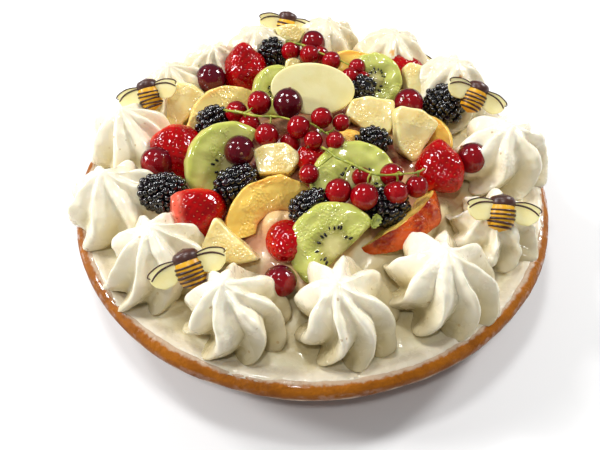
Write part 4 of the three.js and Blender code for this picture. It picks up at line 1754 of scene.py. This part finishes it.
CURRANT_SPRIGS = [
    CurrantSprig(
        "currants_back",
        ((-14, 86, 73), (-4, 82, 72), (8, 76, 70), (20, 70, 69), (30, 62, 67)),
        (
            (-11, 83, 67, 6.3), (1, 77, 68, 6.4), (8, 81, 65, 5.8), (15, 71, 67, 6.2),
            (31, 65, 66, 5.6), (26, 57, 65, 5.6), (34, 60, 61, 5.4),
        ),
        seed=700,
    ),
    CurrantSprig(
        "currants_middle",
        ((-51, 26, 66), (-42, 19, 69), (-32, 13, 72), (-23, 9, 74), (-14, 6, 75), (0, 3, 73), (8, -1, 70)),
        (
            (-30, 29, 68, 7.3), (-44, 27, 63, 6.8), (-25, -1, 69, 7.0), (-7, 2, 72, 6.7), (6, 7, 74, 6.2),
            (17, 5, 72, 5.0), (13, -8, 70, 5.3), (1, -7, 70, 5.3), (-12, -1, 63, 6.0), (-36, 18, 61, 6.5),
        ),
        seed=720,
    ),
    CurrantSprig(
        "currants_front",
        (
            (6, -13, 70), (12, -22, 72), (19, -30, 74), (27, -36, 75), (34, -39, 75), (43, -38, 73),
            (53, -35, 71), (59, -31, 70),
        ),
        (
            (-2, -29, 66, 5.6), (13, -41, 65, 7.0), (26, -46, 66, 7.4), (26, -31, 65, 5.4),
            (42, -30, 65, 6.4), (43, -42, 64, 6.6), (55, -36, 62, 6.2),
        ),
        seed=740,
    ),
]


# ---------------- cut fruit


@dataclass(frozen=True)
class KiwiSlice:
    """A peeled slice of kiwi, whole or cut along a chord."""

    number: int
    radius: float
    thickness: float
    pose: Pose
    chord: Optional[float] = None
    seeded: float = 0.85
    crinkled: float = 0.35
    bevel: float = 3.0
    seed_count: int = 30
    seed_size: Point = (1.35, 0.72, 0.62)

    def outline(self) -> np.ndarray:
        """The slice's outline, its corners a little rounded.

        Returns:
            An array of (points, 2).
        """
        start = 0.0 if self.chord is None else math.asin(self.chord / self.radius)
        end = 2 * math.pi if self.chord is None else math.pi - start
        angle = np.linspace(start, end, 160, endpoint=self.chord is not None)
        arc = np.stack([np.cos(angle), np.sin(angle)], -1) * self.radius
        return rounded(arc, 130, 5)

    def build(self) -> None:
        """Adds the slice to the tart."""
        seed = Seed.KIWI + self.number
        draw = np.random.default_rng(seed)
        rings = slab_rings(self.outline(), self.thickness, self.bevel, 20)
        radius = np.hypot(rings[..., 0], rings[..., 1]) / self.radius
        angle = np.arctan2(rings[..., 1], rings[..., 0])
        flat = soft_step(np.abs(rings[..., 2]), self.thickness / 2 - 2.2, self.thickness / 2 - 0.2)
        ray = 0.5 + 0.5 * np.sin(angle * 46 + 3 * np.sin(angle * 7 + draw.uniform(0, 6)))
        dish = -0.7 * np.exp(-(((radius - 0.36) / 0.13) ** 2)) + 0.35 * np.exp(-((radius / 0.2) ** 2))
        fold = 0.05 * (ray - 0.5) * soft_step(radius, 0.2, 0.5)
        face = flat * (dish + fold + 0.4 * wobble(rings, 12, seed))
        rings[..., 2] += np.sign(rings[..., 2]) * face
        rings = pushed(rings, 0.25 * wobble(rings, 9, seed + 20))
        side = (1 - flat) * soft_step(radius, 0.85, 0.97)
        body = closed_skin(rings, {"reach": radius, "ray": ray, "side": side})
        shapes = [body, *self.seeds(draw)]
        finishes = [KiwiFlesh(self.crinkled), PlainGloss(tint(30, 22, 18), tint(12, 8, 8), 0.8, 0.15)]
        name = f"kiwi_slice_{self.number}"
        add_piece(f"cut_{name}", shapes, finishes, [name], self.pose)

    def seeds(self, draw: np.random.Generator) -> list[Shape]:
        """The black seeds in a ring on both faces.

        Args:
            draw: The source of their scatter.

        Returns:
            The seeds.
        """
        made = []
        grain = ball(4, 7)
        limit = -self.radius if self.chord is None else self.chord + 1.5
        for face in (1, -1):
            for i in range(self.seed_count):
                angle = 2 * math.pi * (i + draw.uniform(-0.3, 0.3)) / self.seed_count
                reach = self.radius * draw.uniform(0.3, 0.46)
                place = np.array([reach * math.cos(angle), reach * math.sin(angle), 0])
                if draw.random() > self.seeded or place[1] < limit:
                    continue
                size = draw.uniform(0.85, 1.15) * self.radius / 24
                place[2] = face * (self.thickness / 2 - 0.45)
                made.append(grain.moved(about_z(angle) @ np.diag(self.seed_size) * size, place, finish=1))
        return made


KIWI_SLICES = [
    KiwiSlice(1, 26, 11, Pose((-46, -12, 55), 30, 50, 38), chord=-3, seeded=0.8, crinkled=0.2),
    KiwiSlice(2, 18, 8, Pose((42, 62, 57), -10, 45, 0), seeded=0.95),
    KiwiSlice(3, 17, 9, Pose((-20, 53, 57), 35, 50, 0)),
    KiwiSlice(4, 25, 9, Pose((23, -27, 54), 8, 35, -5), chord=-3, crinkled=0.2),
    KiwiSlice(5, 23.5, 9, Pose((10, -66, 50), -4, 38, 45), chord=-5, seeded=0.7, crinkled=0.5),
]


@dataclass(frozen=True)
class PeachSlice:
    """A slice of peach or nectarine: a wedge of a ball, hollowed where the stone was."""

    number: int
    radius: float
    half: float
    pose: Pose
    skin: float = 0.0
    stone_length: float = 0.42
    stone_width: float = 0.3
    flesh: PeachFlesh = PeachFlesh()
    stations: int = 58
    axis_drop: float = 0.71

    def section(self, outer: float, inner: float) -> tuple[np.ndarray, np.ndarray, np.ndarray]:
        """The closed outline of a cut across the slice.

        Args:
            outer: The distance of the skin from the fruit's axis.
            inner: The distance of the stone's hollow from it, or 0.

        Returns:
            Its points, how much of the skin and how much of the stone each point shows.
        """
        half = math.radians(self.half)
        run = np.linspace(0, 1, 22)[1:-1]
        arc, side, hollow = np.ones(44), np.ones(len(run)), np.ones(16)
        spread, back = np.linspace(-half, half, len(arc)), np.linspace(half, -half, len(hollow))
        down, up = outer + (inner - outer) * run, inner + (outer - inner) * run
        reach = np.concatenate([outer * arc, down, inner * hollow, up])
        angle = np.concatenate([spread, half * side, back, -half * side])
        skin = np.concatenate([arc, 0 * side, 0 * hollow, 0 * side])
        stone = np.concatenate([0 * arc, run**4, hollow, run[::-1] ** 4])
        line = evened(np.stack([reach * np.sin(angle), reach * np.cos(angle)], -1), 3)
        return line, skin, stone

    def build(self) -> None:
        """Adds the slice to the tart."""
        drop = self.axis_drop * self.radius
        rings, skins, stones = [], [], []
        for share in np.sin(np.linspace(-math.pi / 2, math.pi / 2, self.stations)[1:-1]):
            outer = self.radius * math.sqrt(1 - share**2)
            hollow = 1 - (share / self.stone_length) ** 2
            inner = self.radius * self.stone_width * math.sqrt(hollow) if hollow > 0 else 0.0
            line, skin, stone = self.section(outer, max(inner, 0.35))
            along = np.full(len(line), share * self.radius)
            rings.append(np.column_stack([along, line[:, 0], line[:, 1] - drop]))
            skins.append(skin)
            stones.append(stone * (hollow > 0))
        rings = np.array(rings)
        outside = np.array(skins)
        seed = Seed.PEACH + self.number
        rings = pushed(rings, wobble(rings, 16, seed) * 0.45 + wobble(rings, 5, seed + 30) * 0.16)
        depth = self.radius - np.hypot(rings[..., 1], rings[..., 2] + drop)
        ends = soft_step(np.abs(rings[..., 0]), self.radius * 0.6, self.radius)
        edge = soft_step(depth, 5.0, 0.2) * (1 - outside) * 0.8 + outside * (0.12 + 0.5 * ends)
        marks = {"skin": outside * self.skin, "stone": np.array(stones) * 0.7, "edge": np.clip(edge, 0, 1)}
        name = f"peach_slice_{self.number}"
        shape = closed_skin(rings, marks)
        add_piece(f"glazed_{name}", [shape], [self.flesh], [name], self.pose)


PALE_PEACH = PeachFlesh(golden=tint(250, 222, 140), orange=tint(238, 176, 84))
PEACH_SLICES = [
    PeachSlice(1, 27.5, 20, Pose((-26, -33, 55), 22, -65)),
    PeachSlice(2, 31, 18, Pose((-59.5, 46, 52), 42, -62), flesh=PALE_PEACH),
    PeachSlice(3, 31, 13.5, Pose((53.5, -49.5, 49.5), 44, 51), skin=1.0),
    PeachSlice(4, 22, 22, Pose((75.5, 22, 50), -50, -60)),
    PeachSlice(5, 26, 18, Pose((30, 81, 57), -3, -60)),
    PeachSlice(6, 13, 35, Pose((24, 9, 56), 120, 15), skin=0.25),
]


@dataclass(frozen=True)
class MelonChunk:
    """A chunk of melon: a cut block whose corners have softened."""

    number: int
    thickness: float
    pose: Pose
    bevel: float = 1.8

    def build(self) -> None:
        """Adds the chunk to the tart."""
        seed = Seed.MELON + self.number
        outline = rounded(MELON_OUTLINES[self.number], 110, 9)
        rings = slab_rings(outline, self.thickness, self.bevel, 16)
        rings = pushed(rings, wobble(rings, 20, seed) * 0.35 + wobble(rings, 6, seed + 30) * 0.04)
        middle = outline.mean(0)
        span = np.linalg.norm(outline - middle, axis=1)
        out = np.linalg.norm(rings[..., :2] - middle, axis=-1) / span[None, :]
        high = np.abs(rings[..., 2]) / (self.thickness / 2)
        edge = soft_step(out, 0.84, 1.0) * soft_step(high, 0.6, 0.95)
        name = f"melon_chunk_{self.number}"
        shape = closed_skin(rings, {"edge": edge * (0.6 + 0.4 * wobble(rings, 8, seed + 60))})
        add_piece(f"cut_{name}", [shape], [MelonFlesh()], [name], self.pose)


MELON_OUTLINES = {
    1: ((-13, -12), (-6, -15), (6, -2), (13, 6), (2, 14), (-12, 14)),
    2: ((-9, 9), (-4, 12), (9, 6), (6, -5), (3, -10), (-7, -9)),
    3: ((-15, 0), (-11, 10), (0, 11), (15, 8), (14, 0), (12, -12), (-1, -10)),
    4: ((-8, 17), (5, 14), (15, 5), (-1, -17), (-10, -9), (-11, 12)),
    5: ((-14, 6), (-7, 9), (4, 10), (12, 4), (12, -1), (7, -8), (-11, -8)),
    6: ((-8, 13), (17, -8), (6, -11), (-12, -9), (-15, -3)),
    7: ((-11, 4), (-3, 6), (5, 6), (10, 2), (5, -6), (-7, -4)),
    8: ((-5, -3), (-4, 3), (0, 5), (5, 3), (5, -3)),
}
MELON_CHUNKS = [
    MelonChunk(1, 16, Pose((-76, 47, 52), -5, 45)),
    MelonChunk(2, 14, Pose((70, 65, 54), 8, 40)),
    MelonChunk(3, 15, Pose((36, 28, 57), 0, 40)),
    MelonChunk(4, 14, Pose((60, 11, 57), 5, 45)),
    MelonChunk(5, 14, Pose((-19, -12, 59), 0, 35)),
    MelonChunk(6, 12, Pose((-44, -60, 48), -5, 40)),
    MelonChunk(7, 12, Pose((-11, 109, 63), 0, 50)),
    MelonChunk(8, 8, Pose((-10, 77, 60), 0, 50)),
]


# ---------------- decorations


@dataclass(frozen=True)
class Plaque:
    """The oval plaque of pale chocolate, left plain."""

    width: float = 51.0
    height: float = 30.9
    thickness: float = 3.0
    pose: Pose = Pose((2, 41, 68), -2, 48, -4)

    def build(self) -> None:
        """Adds the plaque to the tart."""
        angle = np.linspace(0, 2 * math.pi, 120, endpoint=False)
        outline = np.stack([self.width / 2 * np.cos(angle), self.height / 2 * np.sin(angle)], -1)
        rings = slab_rings(outline, self.thickness, 1.0, 12)
        rings = pushed(rings, wobble(rings, 22, Seed.PLAQUE) * 0.08)
        finishes = [Confection(tint(250, 240, 178), tint(243, 231, 160), 0.32)]
        add_piece("oval_plaque", [closed_skin(rings)], finishes, ["plaque"], self.pose)


@dataclass(frozen=True)
class Bee:
    """A small moulded bee: barrel body with its head at +Y, stripes, and two flat wings."""

    number: int
    pose: Pose
    body_length: float = 20.0
    body_radius: float = 6.8
    head_share: float = 0.36
    wing_span: float = 19.5
    wing_thickness: float = 1.5
    stripes: int = 5
    wing_lift: float = 0.12

    def barrel(self, start: float, end: float, widths: Sequence[float], finish: int) -> Shape:
        """A stretch of the body between two places along Y, with rounded ends.

        Args:
            start: Its tail end.
            end: Its head end.
            widths: Radii along it.
            finish: Which finish it has.

        Returns:
            The stretch.
        """
        place = np.linspace(start, end, len(widths))
        profile = smooth_line(np.column_stack([widths, place]), 26)
        rings = turned(profile, 32)
        rings = rings[..., [0, 2, 1]]
        rings[..., 2] = np.where(rings[..., 2] < 0, rings[..., 2] * 0.75, rings[..., 2])
        rings = pushed(rings, wobble(rings, 9, Seed.BEE + self.number) * 0.12)
        return closed_skin(rings, finish=finish)

    def stripe(self, place: float, radius: float, draw: np.random.Generator) -> Shape:
        """One piped stripe across the back.

        Args:
            place: Where it crosses, along Y.
            radius: The body's radius there.
            draw: The source of its small slant.

        Returns:
            The stripe.
        """
        angle = np.linspace(-0.25, math.pi + 0.25, 30)
        slant = draw.uniform(-0.5, 0.5)
        along = place + slant * np.cos(angle) - 0.5 * np.sin(angle)
        line = np.stack([radius * np.cos(angle), along, radius * np.sin(angle)], -1)
        width = 0.62 + 0.12 * np.sin(angle * 2 + draw.uniform(0, 6))
        return tube(line, width, 8, finish=2)

    def wing(self, side: int) -> list[Shape]:
        """One wing with its piped lines.

        Args:
            side: 1 for the wing on +X and -1 for the other.

        Returns:
            The wing's lobes and lines.
        """
        span = self.wing_span
        upper = [(2, 3.0), (0.3 * span, 4.6), (0.62 * span, 5.0), (0.9 * span, 3.2), (0.99 * span, 1.4)]
        notch = [(0.94 * span, 0.3), (0.98 * span, -1.4)]
        lower = [(0.9 * span, -4.6), (0.7 * span, -7.2), (0.45 * span, -6.6), (0.2 * span, -4.0), (2, -1.6)]
        flat, rise = math.cos(self.wing_lift), math.sin(self.wing_lift)
        turn = np.array([[side * flat, 0, 0], [0, 1, 0], [rise, 0, 1]])
        lift = (0.0, self.body_length * 0.075, 1.4)
        height = self.wing_thickness / 2
        rings = slab_rings(rounded([*upper, *notch, *lower], 84, 3), self.wing_thickness, 0.5, 6)
        split = [(2.2, 1.6), (0.3 * span, 3.0), (0.6 * span, 2.4), (0.8 * span, 0.7), (0.93 * span, -1.4)]
        edge = [(x, y - 0.4) for x, y in [*upper, notch[0]]]
        shapes = [closed_skin(rings, finish=3)]
        for line, width in ((split, 0.52), (edge, 0.36)):
            route = smooth_line([(x, y, height) for x, y in line], 28)
            swell = width * (0.55 + 0.45 * np.sin(np.linspace(0.3, math.pi - 0.3, 28)))
            shapes.append(tube(route, swell, 6, finish=2))
        shapes = [shape.moved(turn, lift) for shape in shapes]
        for shape in shapes if side < 0 else []:
            shape.quads, shape.tris = shape.quads[:, ::-1], shape.tris[:, ::-1]
        return shapes

    def build(self) -> None:
        """Adds the bee to the tart."""
        draw = np.random.default_rng(Seed.BEE + self.number)
        half = self.body_length / 2
        neck = half - self.body_length * self.head_share
        wide = self.body_radius
        tail = [0.1, 0.76 * wide, 0.92 * wide, 0.98 * wide, wide, 0.98 * wide, 0.9 * wide]
        head = [0.7 * wide, 0.92 * wide, 0.97 * wide, 0.93 * wide, 0.72 * wide, 0.1]
        shapes = [
            self.barrel(-half, neck + 1.0, tail, finish=0),
            self.barrel(neck - 0.8, half, head, finish=1),
        ]
        for k in range(self.stripes):
            share = (k + 0.7) / (self.stripes + 0.1)
            place = neck - share * (neck + half) * 0.86
            reach = float(np.interp(place, np.linspace(-half, neck + 1.0, len(tail)), tail))
            shapes.append(self.stripe(place, reach, draw))
        shapes.extend(self.wing(1))
        shapes.extend(self.wing(-1))
        finishes = [
            Confection(tint(236, 178, 30), tint(218, 152, 18), 0.3),
            Confection(tint(80, 46, 38), tint(64, 36, 30), 0.3),
            Confection(tint(74, 34, 16), tint(54, 24, 12), 0.3),
            Confection(tint(253, 243, 186), tint(248, 234, 160), 0.36),
        ]
        name = f"bee_{self.number}"
        add_piece(f"sugar_{name}", shapes, finishes, [name], self.pose)


BEES = [
    Bee(1, Pose((-60, -87, 63), 0, 38, 19)),
    Bee(2, Pose((-98, 43, 65), -5, 48, 17)),
    Bee(3, Pose((-14, 117, 64.5), 0, 52, -12)),
    Bee(4, Pose((99, 33, 66), 5, 48, -28)),
    Bee(5, Pose((96, -54, 60), 5, 35, -12)),
    Bee(6, Pose((97, 92, 40), 130, 40, 10)),
]


@dataclass(frozen=True)
class CalyxLeaf:
    """A small wavy leaf from a berry's calyx."""

    length: float = 10.0
    width: float = 5.0
    thickness: float = 0.7
    wave: float = 0.9
    pose: Pose = Pose((31, -58, 60), 70, 30)

    def build(self) -> None:
        """Adds the leaf to the tart."""
        along = np.linspace(-1, 1, 40)
        edge = (1 - along**2) ** 0.8 * self.width / 2
        top = np.column_stack([along * self.length / 2, edge * (1 + 0.25 * np.sin(along * 19))])
        bottom = np.column_stack([along * self.length / 2, -edge * (1 + 0.25 * np.sin(along * 17 + 1))])
        outline = rounded(np.vstack([top, bottom[::-1][1:-1]]), 80, 2)
        rings = slab_rings(outline, self.thickness, 0.25, 10)
        rings[..., 2] += self.wave * np.sin(rings[..., 0] * 2 * math.pi / self.length)
        rings[..., 2] += 0.5 * np.abs(rings[..., 1])
        finishes = [PlainGloss(tint(152, 158, 60), tint(92, 104, 34), 1.6, 0.4)]
        add_piece("calyx_leaf", [closed_skin(rings)], finishes, ["leaf"], self.pose)


# ---------------- studio


@dataclass(frozen=True)
class SoftBox:
    """A rectangular lamp that looks at the tart."""

    name: str
    at: Point
    width: float
    height: float
    power: float
    aim: Point = (0, 0, 0.05)

    def build(self) -> None:
        """Adds the lamp."""
        light = bpy.data.lights.new(self.name, "AREA")
        light.shape = "RECTANGLE"
        light.size = self.width
        light.size_y = self.height
        light.energy = self.power
        lamp = bpy.data.objects.new(self.name, light)
        bpy.context.scene.collection.objects.link(lamp)
        lamp.location = self.at
        lamp.rotation_euler = (Vector(self.aim) - Vector(self.at)).to_track_quat("-Z", "Y").to_euler()


@dataclass(frozen=True)
class Studio:
    """The floor, the lamps, the sky and the camera."""

    floor_size: float = 6.0
    sky: float = 0.2
    camera_distance: float = 372.7
    camera_elevation: float = 50.4
    camera_roll: float = -1.2
    target: Point = (-7.4, -9.6, 0.0)
    lens: float = 34.8
    sensor: float = 36.0
    lamps: tuple[SoftBox, ...] = (
        SoftBox("top_lamp", (-0.15, 0.25, 1.2), 0.22, 0.18, 4.6),
        SoftBox("key_lamp", (-0.7, 0.5, 0.85), 0.18, 0.16, 4.2),
        SoftBox("right_lamp", (0.75, 0.4, 0.65), 0.17, 0.18, 6.6),
        SoftBox("left_lamp", (-0.8, 0.05, 0.5), 0.16, 0.2, 5.0),
        SoftBox("front_lamp", (-0.12, -0.5, 1.2), 0.12, 0.09, 3.0),
    )

    def build_floor(self) -> None:
        """Adds the plain pale floor."""
        half = self.floor_size / 2
        mesh = bpy.data.meshes.new("floor")
        corners = [(-half, -half, 0), (half, -half, 0), (half, half, 0), (-half, half, 0)]
        mesh.from_pydata(corners, [], [(0, 1, 2, 3)])
        mesh.materials.append(Backdrop().material())
        floor = bpy.data.objects.new("floor", mesh)
        bpy.context.scene.collection.objects.link(floor)

    def build_sky(self) -> None:
        """Lights the scene evenly from all round."""
        world = bpy.data.worlds.new("studio_sky")
        world.use_nodes = True
        backdrop = world.node_tree.nodes["Background"]
        backdrop.inputs["Color"].default_value = (1.0, 1.0, 1.0, 1.0)
        backdrop.inputs["Strength"].default_value = self.sky
        bpy.context.scene.world = world

    def build_camera(self) -> None:
        """Adds the camera."""
        rise, roll = math.radians(self.camera_elevation), math.radians(self.camera_roll)
        back = Vector((0, -math.cos(rise), math.sin(rise)))
        right = Vector((1, 0, 0))
        up = Vector((0, math.sin(rise), math.cos(rise)))
        across = math.cos(roll) * right + math.sin(roll) * up
        above = math.cos(roll) * up - math.sin(roll) * right
        data = bpy.data.cameras.new("camera")
        data.sensor_width = self.sensor
        data.lens = self.lens
        camera = bpy.data.objects.new("camera", data)
        bpy.context.scene.collection.objects.link(camera)
        place = (Vector(self.target) + back * self.camera_distance) * MM
        turn = Matrix((across, above, back)).transposed().to_4x4()
        camera.matrix_world = Matrix.Translation(place) @ turn
        bpy.context.scene.camera = camera

    def build(self) -> None:
        """Adds the whole studio."""
        self.build_floor()
        self.build_sky()
        for lamp in self.lamps:
            lamp.build()
        self.build_camera()
        bpy.context.scene.view_settings.view_transform = "Standard"


# ---------------- the whole


def corners(box: Sequence[Vector]) -> list[list[float]]:
    """A box's two corners as plain lists of numbers."""
    return [[float(value) for value in corner] for corner in box]


def main() -> None:
    """Builds the tart from the shell up, then the studio round it."""
    logging.basicConfig(level=logging.INFO, format="%(name)s %(message)s")
    PastryShell().build()
    CreamFilling().build()
    fruit = [*CURRANT_SPRIGS, *KIWI_SLICES, *MELON_CHUNKS, *PEACH_SLICES, *STRAWBERRIES, *BRAMBLES, *GRAPES]
    for piece in [*ROSETTES, *fruit, Plaque(), *BEES, CalyxLeaf()]:
        piece.build()
    Studio().build()


if __name__ == "__main__":
    main()
